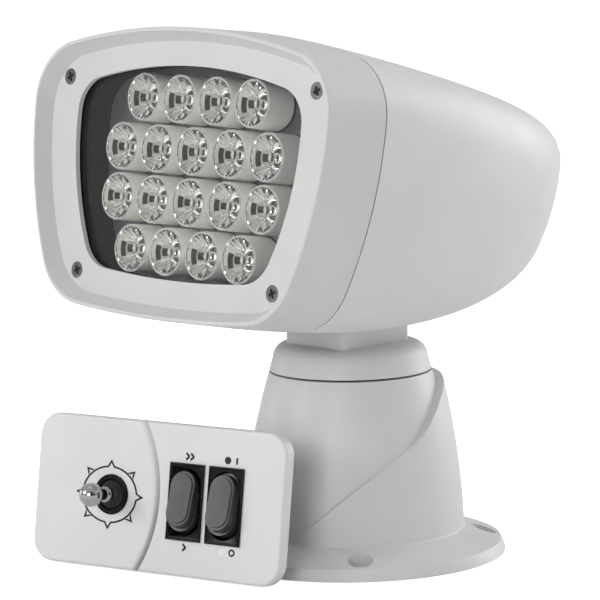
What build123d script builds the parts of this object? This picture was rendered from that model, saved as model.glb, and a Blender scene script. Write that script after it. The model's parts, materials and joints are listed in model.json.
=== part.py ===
from build123d import *
import os
from math import acos, cos, pi, radians, sin, tan

# Marine LED searchlight on a pan and tilt pedestal, with its control panel.
# Millimetres. The origin is on the pan axis, on the underside of the mounting flange.
# +Z is up and the lamp looks towards -Y.

os.makedirs("parts", exist_ok=True)

# Clearances
slide_gap = 0.3  # between faces of bodies that move past each other
bore_fit = 0.05  # running fit of a shaft in its bore, on the radius
drop_fit = 0.2  # a loose seat between fixed pieces, on the radius

# Pedestal: flange, cone and the skirt raised on its rear
flange_r = 75.0
rim_r = 73.0  # at the rim's upper edge
rim_h = 5.6
rim_low = 1.0  # height of the rim's upright edge
rim_fillet = 2.5
foot_fillet = 2.5
foot_r = 55.0
foot_h = 12.0
cone_bulge = 2.0  # how far the cone bows out halfway up
base_turn = 2.9  # the pedestal is turned this far, in degrees, from the head
joint_h = 89.9  # height of the pan joint
joint_gap = 1.0
top_r = 39.7  # pedestal radius at the pan joint
shell_wall = 3.0
skirt_proud = 4.6  # how far the skirt stands out at the pan joint
# The skirt's edge from the rear to the front, as shares of the foot's radius and of the joint's height
skirt_edge = [
    (1.05, 0.975), (0.78, 0.966), (0.52, 0.936), (0.235, 0.84),
    (-0.2, 0.632), (-0.63, 0.47), (-0.89, 0.28), (-1.03, 0.06),
]
mount_r = 65.0
mount_hole_r = 3.25
mount_head_r = 6.1
mount_seat_h = 4.0
mount_count = 4
mount_turn = 45.0 + base_turn  # first mounting hole, in degrees from +X

# Base plate, gasket and gland
gasket_in_r = 57.0
gasket_out_r = 60.0
gasket_t = 2.0
plate_t = 3.0
plate_lift = 1.0  # the plate sits this far above the deck
plate_boss_r = 5.0
plate_boss_ring = 47.3
plate_boss_h = 12.0
plate_screw_r = 1.6
plate_head_r = 2.8
plate_head_t = 0.9
gland_r = 8.0
gland_bore_r = 3.5

# Pan bearing and drive
bearing_bore_r = 12.5
bearing_out_r = 18.5
bearing_w = 7.0
bearing_race = 2.0
ball_r = 1.5
ball_count = 14
bearing_recess = 1.0  # below the pedestal's top
bearing_shoulder = 2.0
bearing_wall = 4.0
seal_w = 3.0
deck_t = 4.0
spindle_in_r = 8.0
spindle_flange_t = 3.0
spindle_screw_ring = 30.0
spindle_screw_count = 4
spindle_boss_h = 7.0
nut_t = 4.0
nut_w = 32.0
pan_teeth = 40
pan_pinion_teeth = 12
pan_module = 1.0
pan_gear_t = 7.0
tilt_teeth = 28
tilt_pinion_teeth = 10
tilt_module = 1.0
tilt_gear_t = 5.0
mesh_slack = 0.15  # added to each gear pair's centre distance
pressure_angle = 25.0
tooth_backlash = 0.16
motor_r = 11.0
motor_len = 24.0
gearbox_len = 18.0
motor_nose_r = 5.0
motor_shaft_len = 12.0
motor_plate_h = 64.0  # height of the motor plate's top face
motor_plate_t = 3.0
motor_plate_ring = 36.0
motor_plate_screws = 3
motor_plate_turn = 30.0
hanger_w = 9.0  # ribs from the deck down to the motor plate
hanger_t = 7.0
hanger_screw_len = 10.0
pan_gear_lift = 4.0  # above the motor plate
motor_shaft_r = 2.0

# Turret: collar and neck in one moulding
collar_side_h = 6.6  # height of the collar's tapered side
collar_side_in = 1.7
dome_r = 31.0
dome_edge_h = 13.2  # height of the dome's edge above the joint
dome_top_h = 17.4
neck_w = 41.6
neck_d = 46.2
neck_shift = -1.8  # the neck's middle, along Y
neck_wall = 4.0
neck_corner = 3.5
ear_r = 12.0
axle_h = 140.0  # height of the tilt axle
axle_r = 4.0
bush_wall = 2.0
bush_flange_r = 8.5
bush_flange_t = 1.0
tilt_motor_r = 10.0
tilt_nose_r = 4.0
tilt_gear_x = 8.0
tilt_gear_hub_r = 7.0
tilt_gear_hub_t = 3.5

# Lamp head, in its own frame: right, up and forward from the middle of the lens grid
head_tilt = 8.5
grid_y = -101.9
grid_rise = 52.4  # middle of the lens grid, above the tilt axle
crest_off = 14.6  # rim, ahead of the lens fronts
face_off = 7.1  # screw face
joint_off = -20.5  # joint between the bezel and the rear shell
head_joint_gap = 0.8
head_half_w = 100.5
head_top = 68.4
head_bottom = -67.2
top_corner_r = 30.0
bottom_corner_r = 32.0
draft = 1.5  # the bezel's skirt flares by this much
head_wall = 3.0
rim_w = 1.8
dish_w = 6.0
window_in = 24.1  # from the head's side to the window's
window_top = 51.0
window_bottom = -48.6
window_top_r = 17.0
window_bottom_r = 19.0
lip_t = 2.5
gasket_head_t = 0.8
glass_t = 3.0
glass_margin = 4.0
shell_len = 200.0  # rear shell, from the joint to the tail
tail_h = 5.0  # height of the tail's tip
tail_w_power = 2.16  # how full the shell stays towards the tail, seen from above
tail_top_powers = (1.16, 3.3)
tail_bottom_powers = (1.94, 1.76)
screw_top_in = 16.3  # from the head's side to the upper screws
screw_top_h = 42.9
screw_bottom_in = 33.2
screw_bottom_h = -48.8
screw_head_r = 4.0
screw_r = 2.0
boss_r = 4.5
boss_len = 23.7  # rear shell's bosses, from the joint to the chassis
rib_t = 3.0
slot_front_y = -36.0  # slot in the shell's belly for the neck
slot_back_y = 36.0

# Light engine
lens_r = 10.5
lens_pitch_x = 24.72
lens_pitch_h = 23.82
lens_depth = 15.0
lens_foot_r = 4.6
lens_front_t = 1.6
lens_well_r = 4.0
lens_well_d = 5.0
lens_edge = 0.3
led_gap = 0.6  # from the lens's seat to its back
led_well_r = 2.6  # hollow in the lens's back for the LED
led_well_d = 2.9
barrel_wall = 0.8
barrel_depth = 16.0
ring_t = 1.0
ring_proud = 0.45  # ring round the barrel's base
shroud_t = 1.5
board_t = 1.6
sink_plate_t = 4.0
fin_h = 84.0
fin_t = 1.6
fin_count = 15
fin_pitch = 9.0
chassis_t = 3.0
chassis_side_in = 9.8  # the frame's edges, inside the head's outline
chassis_over = 12.0  # above the upper screws
chassis_under = 9.0  # below the lower screws
chassis_side_r = 20.0
chassis_foot_r = 18.0
chassis_slot_x = -56.0
chassis_slot_w = 44.0  # opening for the driver's wires
chassis_slot_h = 62.0
chassis_slot_r = 6.0
cheek_root = 60.0  # length of a cheek where it meets the frame
cheek_root_t = 8.0
cheek_root_h = -10.0
cheek_hole_r = 9.0
cheek_hole_off = 28.0  # behind the frame
cheek_hole_h = -14.0
chassis_head_r = 3.4
chassis_head_t = 2.0
cheek_t = 3.0
cheek_r = 11.0
axle_head_w = 15.0
axle_head_t = 4.0
driver_x = 54.0
driver_w = 46.0
driver_h = 62.0
driver_t = 20.0

# Control panel, in its own frame: right, up and out from the middle of its lower edge
panel_x = -30.14
panel_y = -106.18
panel_turn = 13.88
panel_lean = 9.45
panel_w = 142.4
panel_h = 72.3
panel_t = 6.5
panel_face_t = 2.5
panel_wall = 2.2
panel_corner = 11.0
swage_bulge = 10.2  # depth of the curve of the step across the plate
swage_x = 1.2  # foot of the step, halfway up
swage_w = 3.4  # width of the slope down to it
swage_wall = 0.5  # width of the steep side
swage_depth = 0.8
switch_w = 19.6
switch_h = 36.9
switch_mid_h = 35.5
switch_speed_x = 16.7
switch_power_x = 38.9
switch_rim_t = 1.2
switch_body_w = 18.4
switch_body_h = 35.6
switch_body_d = 19.0
face_border = 1.0  # the housing's face is sunk inside this border
face_sink = 0.5
well_w = 16.2
well_len = 32.6
well_d = 10.5
rocker_len = 30.0
rocker_pivot_d = 4.0
rocker_tilt = 11.0
rocker_pin_r = 1.2
rocker_depth = 1.0  # below the pivot
rocker_body_h = 5.6  # above the pivot
rocker_button_len = 27.6
rocker_button_w = 14.4
rocker_button_t = 3.6
rocker_pad_len = 24.0
rocker_pad_w = 11.6
rocker_pad_t = 0.8
rocker_round = 0.5
terminal_len = 6.0
stick_x = -26.3
stick_h = 35.4
stick_pivot_d = 5.5
dome_ball_r = 9.0
dome_wall = 1.4
dome_cut = 3.4  # the dome ends this far in front of the pivot
stick_ring_r = 9.7
stick_ring_in_r = 7.5
stick_ring_t = 0.6
knob_r = 5.8
knob_out = 17.0
stem_r = 2.2
hub_r = 3.2
collar_r = 3.9  # chrome collar under the knob
pivot_pin_r = 0.8
gimbal_in_r = 4.4  # the gimbal turns inside the dome
gimbal_out_r = 6.6
gimbal_t = 2.4
housing_half = 16.5
housing_d = 22.0
housing_wall = 2.5
stick_board_w = 48.0
stick_board_h = 50.0
connector_w = 20.0
connector_h = 10.0
connector_t = 8.0


def annulus(outer_r, inner_r):
    """Two circles, the inner one taken out."""
    Circle(outer_r)
    Circle(inner_r, mode=Mode.SUBTRACT)


def gear_points(teeth, module, phase, backlash):
    """Outline of a spur gear with involute flanks, one tooth centred on phase degrees."""
    pitch_r = teeth * module / 2
    base_r = pitch_r * cos(radians(pressure_angle))
    tip_r = pitch_r + 0.8 * module
    root_r = pitch_r - 1.05 * module
    half_pitch_angle = pi / (2 * teeth) - backlash / (2 * pitch_r)

    def half_angle(r):
        a = acos(min(1.0, base_r / r))
        a0 = radians(pressure_angle)
        return half_pitch_angle + (tan(a0) - a0) - (tan(a) - a)

    start_r = max(base_r, root_r + 0.05 * module)
    flank = [(root_r, half_angle(start_r))]
    for r in (start_r, pitch_r, tip_r):
        flank.append((r, half_angle(r)))
    points = []
    for i in range(teeth):
        middle = radians(phase) + 2 * pi * i / teeth
        for r, a in flank:
            points.append((r * cos(middle - a), r * sin(middle - a)))
        for r, a in reversed(flank):
            points.append((r * cos(middle + a), r * sin(middle + a)))
    return points


def head_outline(half_w, top, bottom, top_r, bottom_r):
    """Rounded trapezoid with an arched top, bowed sides and an arched bottom."""
    height = top - bottom
    shoulder = (0.986 * half_w, top - 0.108 * height)
    flank = (0.969 * half_w, top - 0.541 * height)
    heel = (0.761 * half_w, bottom + 0.0325 * height)
    with BuildSketch() as outline:
        with BuildLine():
            ThreePointArc((-shoulder[0], shoulder[1]), (0, top), shoulder)
            ThreePointArc(shoulder, flank, heel)
            ThreePointArc(heel, (0, bottom), (-heel[0], heel[1]))
            ThreePointArc((-heel[0], heel[1]), (-flank[0], flank[1]), (-shoulder[0], shoulder[1]))
        make_face()
        fillet(outline.vertices().sort_by(Axis.Y)[2:], top_r)
        fillet(outline.vertices().sort_by(Axis.Y)[:2], bottom_r)
    return outline.sketch


def save(piece, name):
    """Label a finished piece and write its STEP file."""
    piece.part.label = name
    export_step(piece.part, f"parts/{name}.step")


# Frames of the head and of the panel
grid_h = axle_h + grid_rise
window_half_w = head_half_w - window_in
screw_top_x = head_half_w - screw_top_in
screw_bottom_x = head_half_w - screw_bottom_in
forward = Vector(0, -cos(radians(head_tilt)), sin(radians(head_tilt)))
head_plane = Plane(origin=(0, grid_y, grid_h), x_dir=(1, 0, 0), z_dir=forward)
panel_lift = panel_t * sin(radians(panel_lean))  # its rear lower edge stands on the deck
panel_right = Vector(cos(radians(panel_turn)), sin(radians(panel_turn)), 0)
panel_face = Vector(sin(radians(panel_turn)), -cos(radians(panel_turn)), 0)
panel_out = panel_face * cos(radians(panel_lean)) + Vector(0, 0, sin(radians(panel_lean)))
panel_plane = Plane(origin=(panel_x, panel_y, panel_lift), x_dir=panel_right, z_dir=panel_out)
axle_point = head_plane.to_local_coords(Vector(0, 0, axle_h))
axle_up = axle_point.Y
axle_off = axle_point.Z

# Pedestal shell
pedestal_top = joint_h - joint_gap / 2
motor_plate_bottom = motor_plate_h - motor_plate_t
collar_bottom = joint_h + joint_gap / 2
bearing_top = pedestal_top - bearing_recess
bearing_bottom = bearing_top - bearing_w
deck_bottom = bearing_bottom - bearing_shoulder
bearing_wall_r = bearing_out_r + bearing_wall


def cone_r(height, proud=0.0):
    """Outer radius of the pedestal's cone at a height."""
    share = (height - foot_h) / (joint_h - foot_h)
    return foot_r + (top_r + proud - foot_r) * share + 4 * cone_bulge * share * (1 - share)


def cone_line(start_h, end_h, proud=0.0, inset=0.0):
    """The cone's bowed side between two heights."""
    heights = (start_h, (start_h + end_h) / 2, end_h)
    return ThreePointArc(*[(cone_r(height, proud) - inset, height) for height in heights])


base_side = Plane(
    origin=(0, 0, 0), x_dir=(-sin(radians(base_turn)), cos(radians(base_turn)), 0),
    z_dir=(cos(radians(base_turn)), sin(radians(base_turn)), 0),
)
skirt_points = [(foot_r * out, joint_h * up) for out, up in skirt_edge]
with BuildPart() as skirt:
    with BuildSketch(Plane.XZ):
        with BuildLine():
            side = cone_line(foot_h, pedestal_top, skirt_proud)
            inner = Line((top_r - shell_wall, pedestal_top), (foot_r - 4 * shell_wall, foot_h - shell_wall))
            Line(side @ 1, inner @ 0)
            Line(inner @ 1, side @ 0)
        make_face()
    revolve(axis=Axis.Z)
    with BuildSketch(base_side):
        with BuildLine():
            edge = Spline(*skirt_points)
            Polyline(
                edge @ 1, (-2 * foot_r, skirt_points[-1][1]), (-2 * foot_r, 2 * joint_h),
                (skirt_points[0][0], 2 * joint_h), edge @ 0,
            )
        make_face()
    extrude(amount=2 * foot_r, both=True, mode=Mode.SUBTRACT)

with BuildPart() as pedestal_shell:
    with BuildSketch(Plane.XZ):
        with BuildLine():
            side = cone_line(foot_h, pedestal_top)
            Polyline(
                side @ 1, (0, pedestal_top), (0, 0),
                (flange_r, 0), (flange_r, rim_low), (rim_r, rim_h), side @ 0,
            )
        make_face()
        corners = vertices()
        fillet(corners.filter_by(lambda v: abs(v.X - foot_r) < 0.01), foot_fillet)
        fillet(corners.filter_by(lambda v: abs(v.X - rim_r) < 0.01), rim_fillet)
        fillet(corners.filter_by(lambda v: abs(v.X - flange_r) + abs(v.Y - rim_low) < 0.01), rim_low / 2)
    revolve(axis=Axis.Z)
    add(skirt.part)
    with BuildSketch(Plane.XZ):
        with BuildLine():
            side = cone_line(foot_h, deck_bottom, inset=shell_wall)
            Polyline(side @ 1, (0, deck_bottom), (0, 0), (foot_r - shell_wall, 0), side @ 0)
        make_face()
    revolve(axis=Axis.Z, mode=Mode.SUBTRACT)
    with BuildSketch(Plane.XY.offset(deck_bottom + deck_t)):
        annulus(cone_r(pedestal_top) - shell_wall, bearing_wall_r)
    extrude(amount=pedestal_top - deck_bottom, mode=Mode.SUBTRACT)
    with BuildSketch(Plane.XY.offset(bearing_top)):
        Circle(bearing_wall_r)
    extrude(amount=2 * joint_gap, mode=Mode.SUBTRACT)
    with BuildSketch(Plane.XY.offset(bearing_bottom)):
        Circle(bearing_out_r)
    extrude(amount=2 * bearing_w, mode=Mode.SUBTRACT)
    with BuildSketch(Plane.XY.offset(deck_bottom)):
        Circle(bearing_out_r - bearing_race)
    extrude(amount=2 * bearing_w, mode=Mode.SUBTRACT)
    # Ribs that hang from the deck carry the motor plate
    with BuildSketch(Plane.XY.offset(motor_plate_h)):
        with PolarLocations(motor_plate_ring, motor_plate_screws, start_angle=motor_plate_turn):
            Rectangle(hanger_w, hanger_t)
    extrude(until=Until.NEXT)
    with BuildSketch(Plane.XY.offset(motor_plate_h)):
        with PolarLocations(motor_plate_ring, motor_plate_screws, start_angle=motor_plate_turn):
            Circle(plate_screw_r)
    extrude(amount=hanger_screw_len, mode=Mode.SUBTRACT)
    # Bosses for the base plate's screws
    with BuildSketch(Plane.XY.offset(plate_lift + plate_t)):
        with PolarLocations(plate_boss_ring, mount_count):
            Circle(plate_boss_r)
    extrude(amount=plate_boss_h)
    with BuildSketch(Plane.XY.offset(plate_lift + plate_t)):
        with PolarLocations(plate_boss_ring, mount_count):
            Circle(plate_screw_r)
    extrude(amount=plate_boss_h - 2, mode=Mode.SUBTRACT)
    # Mounting holes and gasket groove
    with BuildSketch():
        with PolarLocations(mount_r, mount_count, start_angle=mount_turn):
            Circle(mount_hole_r)
    extrude(amount=2 * foot_h, mode=Mode.SUBTRACT)
    with BuildSketch(Plane.XY.offset(mount_seat_h)):
        with PolarLocations(mount_r, mount_count, start_angle=mount_turn):
            Circle(mount_head_r)
    extrude(amount=2 * foot_h, mode=Mode.SUBTRACT)
    with BuildSketch():
        annulus(gasket_out_r, gasket_in_r)
    extrude(amount=gasket_t, mode=Mode.SUBTRACT)
save(pedestal_shell, "pedestal_shell")

with BuildPart() as base_gasket:
    with BuildSketch():
        annulus(gasket_out_r, gasket_in_r)
    extrude(amount=gasket_t)
save(base_gasket, "base_gasket")

with BuildPart() as base_plate:
    with BuildSketch(Plane.XY.offset(plate_lift)):
        Circle(foot_r - shell_wall - drop_fit)
        Circle(gland_r - 1.5, mode=Mode.SUBTRACT)
        with PolarLocations(plate_boss_ring, mount_count):
            Circle(plate_screw_r + drop_fit, mode=Mode.SUBTRACT)
    extrude(amount=plate_t)
save(base_plate, "base_plate")

with BuildPart() as cable_gland:
    with BuildSketch(Plane.XY.offset(plate_lift)):
        Circle(gland_r - 1.5)
    extrude(amount=plate_t)
    with BuildSketch(Plane.XY.offset(plate_lift + plate_t)):
        RegularPolygon(gland_r + 1.0, 6)
    extrude(amount=4)
    with BuildSketch(Plane.XY.offset(plate_lift + plate_t + 4)):
        Circle(gland_r - 1.0)
    extrude(amount=7)
    fillet(faces().sort_by(Axis.Z)[-1].edges(), 1.5)
    Hole(gland_bore_r)
save(cable_gland, "cable_gland")


def screw_group(plane, points, head_r, head_t, shank_r, shank_len):
    """Screws with low domed heads; the shanks run along the plane's normal."""
    with BuildPart() as screws:
        with BuildSketch(plane.offset(-head_t)):
            with Locations(*points):
                Circle(head_r)
        extrude(amount=head_t)
        with BuildSketch(plane):
            with Locations(*points):
                Circle(shank_r)
        extrude(amount=shank_len)
    return screws


def ring_points(ring_r, count, start):
    """Points on a circle."""
    return [
        (ring_r * cos(radians(start + 360 * i / count)), ring_r * sin(radians(start + 360 * i / count)))
        for i in range(count)
    ]


base_plate_screws = screw_group(
    Plane.XY.offset(plate_lift), ring_points(plate_boss_ring, mount_count, 0),
    plate_head_r, plate_head_t, plate_screw_r, plate_boss_h - 1,
)
save(base_plate_screws, "base_plate_screws")

# Pan bearing
bearing_mid_r = (bearing_bore_r + bearing_out_r) / 2
with BuildPart() as pan_bearing_outer:
    with BuildSketch(Plane.XY.offset(bearing_bottom)):
        annulus(bearing_out_r, bearing_out_r - bearing_race)
    extrude(amount=bearing_w)
    with BuildSketch(Plane.XZ):
        with Locations((bearing_mid_r, bearing_bottom + bearing_w / 2)):
            Circle(ball_r + bore_fit)
    revolve(axis=Axis.Z, mode=Mode.SUBTRACT)
save(pan_bearing_outer, "pan_bearing_outer")

with BuildPart() as pan_bearing_inner:
    with BuildSketch(Plane.XY.offset(bearing_bottom)):
        annulus(bearing_bore_r + bearing_race, bearing_bore_r)
    extrude(amount=bearing_w)
    with BuildSketch(Plane.XZ):
        with Locations((bearing_mid_r, bearing_bottom + bearing_w / 2)):
            Circle(ball_r + bore_fit)
    revolve(axis=Axis.Z, mode=Mode.SUBTRACT)
save(pan_bearing_inner, "pan_bearing_inner")

with BuildPart() as pan_bearing_balls:
    with Locations((0, 0, bearing_bottom + bearing_w / 2)):
        with PolarLocations(bearing_mid_r, ball_count):
            Sphere(ball_r)
save(pan_bearing_balls, "pan_bearing_balls")

with BuildPart() as pan_seal:
    seal_out_r = cone_r(pedestal_top) - shell_wall
    with BuildSketch(Plane.XY.offset(deck_bottom + deck_t)):
        annulus(seal_out_r, seal_out_r - seal_w)
    extrude(amount=collar_bottom - slide_gap - deck_bottom - deck_t)
save(pan_seal, "pan_seal")

# Pan drive
pan_centre = (pan_teeth + pan_pinion_teeth) * pan_module / 2 + mesh_slack
pan_gear_bottom = motor_plate_h + pan_gear_lift

with BuildPart() as motor_plate:
    with BuildSketch(Plane.XY.offset(motor_plate_bottom)):
        Circle(cone_r(motor_plate_h) - shell_wall - 1.0)
        Circle(bearing_bore_r + 2.0, mode=Mode.SUBTRACT)
        with Locations((0, pan_centre)):
            Circle(motor_nose_r, mode=Mode.SUBTRACT)
        with PolarLocations(motor_plate_ring, motor_plate_screws, start_angle=motor_plate_turn):
            Circle(plate_screw_r + drop_fit, mode=Mode.SUBTRACT)
    extrude(amount=motor_plate_t)
save(motor_plate, "motor_plate")

motor_screws = screw_group(
    Plane.XY.offset(motor_plate_bottom), ring_points(motor_plate_ring, motor_plate_screws, motor_plate_turn),
    plate_head_r, 2 * plate_head_t, plate_screw_r, 11,
)
save(motor_screws, "motor_plate_screws")

with BuildPart() as pan_motor:
    with BuildSketch(Plane.XY.offset(motor_plate_bottom)):
        with Locations((0, pan_centre)):
            Circle(motor_r)
    extrude(amount=-gearbox_len)
    with BuildSketch(Plane.XY.offset(motor_plate_bottom - gearbox_len)):
        with Locations((0, pan_centre)):
            Circle(motor_r - 1.0)
    extrude(amount=-motor_len)
    fillet(faces().sort_by(Axis.Z)[0].edges(), 1.5)
    with BuildSketch(Plane.XY.offset(motor_plate_bottom)):
        with Locations((0, pan_centre)):
            Circle(motor_nose_r)
    extrude(amount=motor_plate_t - 1)
    with BuildSketch(Plane.XY.offset(motor_plate_h - 1)):
        with Locations((0, pan_centre)):
            Circle(motor_shaft_r + bore_fit)
    extrude(amount=-motor_shaft_len, mode=Mode.SUBTRACT)
save(pan_motor, "pan_motor")

with BuildPart() as pan_pinion:
    with BuildSketch(Plane(origin=(0, pan_centre, pan_gear_bottom))):
        with BuildLine():
            half_pitch = 180 / pan_pinion_teeth
            Polyline(*gear_points(pan_pinion_teeth, pan_module, half_pitch - 90, tooth_backlash), close=True)
        make_face()
    extrude(amount=pan_gear_t)
    with BuildSketch(Plane(origin=(0, pan_centre, pan_gear_bottom - motor_shaft_len))):
        Circle(motor_shaft_r)
    extrude(amount=motor_shaft_len)
save(pan_pinion, "pan_pinion")

with BuildPart() as pan_gear:
    with BuildSketch(Plane.XY.offset(pan_gear_bottom)):
        with BuildLine():
            Polyline(*gear_points(pan_teeth, pan_module, 90, tooth_backlash), close=True)
        make_face()
        Circle(bearing_bore_r, mode=Mode.SUBTRACT)
    extrude(amount=pan_gear_t)
    with BuildSketch(Plane.XY.offset(pan_gear_bottom + pan_gear_t)):
        annulus(bearing_bore_r + 1.8, bearing_bore_r)
    extrude(amount=bearing_bottom - pan_gear_bottom - pan_gear_t)
save(pan_gear, "pan_gear")

with BuildPart() as spindle_nut:
    with BuildSketch(Plane.XY.offset(pan_gear_bottom - nut_t)):
        RegularPolygon(nut_w / 2, 6)
        Circle(bearing_bore_r, mode=Mode.SUBTRACT)
    extrude(amount=nut_t)
save(spindle_nut, "spindle_nut")

# Turret
collar_out_r = cone_r(collar_bottom)
collar_taper = collar_side_in / (collar_side_h - shell_wall / 2)
screw_sink = plate_head_t + 0.1  # depth of the pockets that hide the screws' heads
spindle_flange_r = collar_out_r - shell_wall - collar_taper * spindle_flange_t - drop_fit
with BuildPart() as turret_spindle:
    with BuildSketch(Plane.XY.offset(collar_bottom)):
        Circle(spindle_flange_r)
    extrude(amount=spindle_flange_t)
    with BuildSketch(Plane.XY.offset(pan_gear_bottom - nut_t - 2)):
        Circle(bearing_bore_r)
    extrude(amount=collar_bottom - pan_gear_bottom + nut_t + 2)
    with BuildSketch(Plane.XY.offset(bearing_top)):
        Circle(bearing_bore_r + 1.5)
    extrude(amount=collar_bottom - bearing_top)
    with BuildSketch(Plane.XY.offset(collar_bottom + spindle_flange_t)):
        Circle(spindle_in_r)
    extrude(amount=-joint_h, mode=Mode.SUBTRACT)
    spindle_spots = ring_points(spindle_screw_ring, spindle_screw_count, mount_turn)
    with Locations(*[(x, y, collar_bottom) for x, y in spindle_spots]):
        with Locations(Rotation(180, 0, 0)):
            CounterBoreHole(
                plate_screw_r + drop_fit, plate_head_r + drop_fit, screw_sink, 2 * spindle_flange_t,
            )
save(turret_spindle, "turret_spindle")

ear_top = axle_h + ear_r


def collar_profile(inset):
    """Half section of the collar, moved inwards by inset."""
    side_r = collar_out_r - collar_side_in
    with BuildLine() as half_section:
        Line((0, collar_bottom), (collar_out_r - inset, collar_bottom))
        side_top = (side_r - inset, collar_bottom + collar_side_h - inset / 2)
        Line((collar_out_r - inset, collar_bottom), side_top)
        ThreePointArc(
            (side_r - inset, collar_bottom + collar_side_h - inset / 2),
            (side_r - 1.6 - inset, collar_bottom + collar_side_h + 3.9 - inset * 0.8),
            (dome_r - inset, collar_bottom + dome_edge_h - inset),
        )
        RadiusArc(
            (dome_r - inset, collar_bottom + dome_edge_h - inset), (0, collar_bottom + dome_top_h - inset),
            (dome_r ** 2 + (dome_top_h - dome_edge_h) ** 2) / (2 * (dome_top_h - dome_edge_h)),
        )
        Line((0, collar_bottom + dome_top_h - inset), (0, collar_bottom))
    make_face(half_section.edges())


with BuildPart() as turret_housing:
    with BuildSketch(Plane.XZ):
        collar_profile(0.0)
    revolve(axis=Axis.Z)
    with BuildSketch(Plane.XY.offset(collar_bottom + dome_edge_h - 2)):
        with Locations((0, neck_shift)):
            RectangleRounded(neck_w, neck_d, neck_corner)
    extrude(amount=axle_h - ear_r - 2 - collar_bottom - dome_edge_h + 2)
    with BuildSketch(Plane.XZ):
        collar_profile(shell_wall)
    revolve(axis=Axis.Z, mode=Mode.SUBTRACT)
    # Two ears carry the tilt axle
    with BuildSketch(Plane.YZ):
        with Locations((0, axle_h)):
            Circle(ear_r)
        with Locations((0, axle_h - ear_r)):
            Rectangle(2 * ear_r, 2 * ear_r)
    extrude(amount=neck_w / 2, both=True)
    with BuildSketch(Plane.XY.offset(collar_bottom)):
        with Locations((0, neck_shift)):
            Rectangle(neck_w - 2 * neck_wall, neck_d - 2 * neck_wall)
    extrude(amount=ear_top, mode=Mode.SUBTRACT)
    with BuildSketch(Plane.YZ):
        with Locations((0, axle_h)):
            Circle(axle_r + bore_fit + bush_wall)
    extrude(amount=neck_w, both=True, mode=Mode.SUBTRACT)
    # Bosses for the spindle's screws
    with BuildSketch(Plane.XY.offset(collar_bottom + spindle_flange_t)):
        with PolarLocations(spindle_screw_ring, spindle_screw_count, start_angle=mount_turn):
            Circle(plate_head_r + 1.2)
    extrude(amount=spindle_boss_h)
    with BuildSketch(Plane.XY.offset(collar_bottom + spindle_flange_t)):
        with PolarLocations(spindle_screw_ring, spindle_screw_count, start_angle=mount_turn):
            Circle(plate_screw_r)
    extrude(amount=spindle_boss_h - 1, mode=Mode.SUBTRACT)
save(turret_housing, "turret_housing")

spindle_screws = screw_group(
    Plane.XY.offset(collar_bottom + screw_sink),
    ring_points(spindle_screw_ring, spindle_screw_count, mount_turn),
    plate_head_r, plate_head_t, plate_screw_r, spindle_flange_t + spindle_boss_h - screw_sink - 2,
)
save(spindle_screws, "spindle_screws")

# Tilt drive, in the neck
tilt_centre = (tilt_teeth + tilt_pinion_teeth) * tilt_module / 2 + mesh_slack
tilt_motor_h = axle_h - tilt_centre
ear_in_x = neck_w / 2 - neck_wall
ear_out_x = neck_w / 2
axle_plane = Plane(origin=(tilt_gear_x, 0, axle_h), x_dir=(0, 1, 0), z_dir=(1, 0, 0))
tilt_motor_plane = Plane(origin=(tilt_gear_x, 0, tilt_motor_h), x_dir=(0, 1, 0), z_dir=(1, 0, 0))
motor_face_x = tilt_gear_x - tilt_gear_hub_t - 1

with BuildPart() as tilt_motor:
    with BuildSketch(Plane.YZ.offset(-ear_in_x)):
        with Locations((0, tilt_motor_h)):
            Circle(tilt_motor_r)
    extrude(amount=ear_in_x + motor_face_x)
    fillet(faces().sort_by(Axis.X)[-1].edges(), 1.0)
    with BuildSketch(Plane.YZ.offset(motor_face_x)):
        with Locations((0, tilt_motor_h)):
            Circle(tilt_nose_r)
    extrude(amount=tilt_gear_hub_t - 1)
    with BuildSketch(tilt_motor_plane):
        Circle(motor_shaft_r + bore_fit)
    extrude(amount=-motor_shaft_len - 1, mode=Mode.SUBTRACT)
save(tilt_motor, "tilt_motor")

with BuildPart() as tilt_pinion:
    with BuildSketch(tilt_motor_plane):
        with BuildLine():
            half_pitch = 180 / tilt_pinion_teeth
            Polyline(
                *gear_points(tilt_pinion_teeth, tilt_module, half_pitch + 90, tooth_backlash), close=True,
            )
        make_face()
    extrude(amount=tilt_gear_t)
    with BuildSketch(tilt_motor_plane):
        Circle(motor_shaft_r)
    extrude(amount=-motor_shaft_len)
save(tilt_pinion, "tilt_pinion")

with BuildPart() as tilt_gear:
    with BuildSketch(axle_plane):
        with BuildLine():
            Polyline(*gear_points(tilt_teeth, tilt_module, -90, tooth_backlash), close=True)
        make_face()
        Circle(axle_r, mode=Mode.SUBTRACT)
    extrude(amount=tilt_gear_t)
    with BuildSketch(axle_plane):
        annulus(tilt_gear_hub_r, axle_r)
    extrude(amount=-tilt_gear_hub_t)
save(tilt_gear, "tilt_gear")

with BuildPart() as tilt_bushes:
    with BuildSketch(Plane.YZ.offset(ear_in_x)):
        with Locations((0, axle_h)):
            annulus(axle_r + bore_fit + bush_wall, axle_r + bore_fit)
    extrude(amount=neck_wall)
    with BuildSketch(Plane.YZ.offset(ear_out_x)):
        with Locations((0, axle_h)):
            annulus(bush_flange_r, axle_r + bore_fit)
    extrude(amount=bush_flange_t)
    mirror(about=Plane.YZ)
save(tilt_bushes, "tilt_bushes")

# Chassis of the head
cheek_in_x = ear_out_x + bush_flange_t + slide_gap
rear_front = joint_off - head_joint_gap / 2
board_front = -barrel_depth - ring_t
sink_front = board_front - board_t
fin_front = sink_front - sink_plate_t
chassis_front = rear_front - boss_len
fin_len = fin_front - chassis_front
head_side = Plane(origin=head_plane.origin, x_dir=forward, z_dir=(-1, 0, 0))
screw_points = [
    (screw_top_x, screw_top_h), (-screw_top_x, screw_top_h),
    (screw_bottom_x, screw_bottom_h), (-screw_bottom_x, screw_bottom_h),
]

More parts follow.
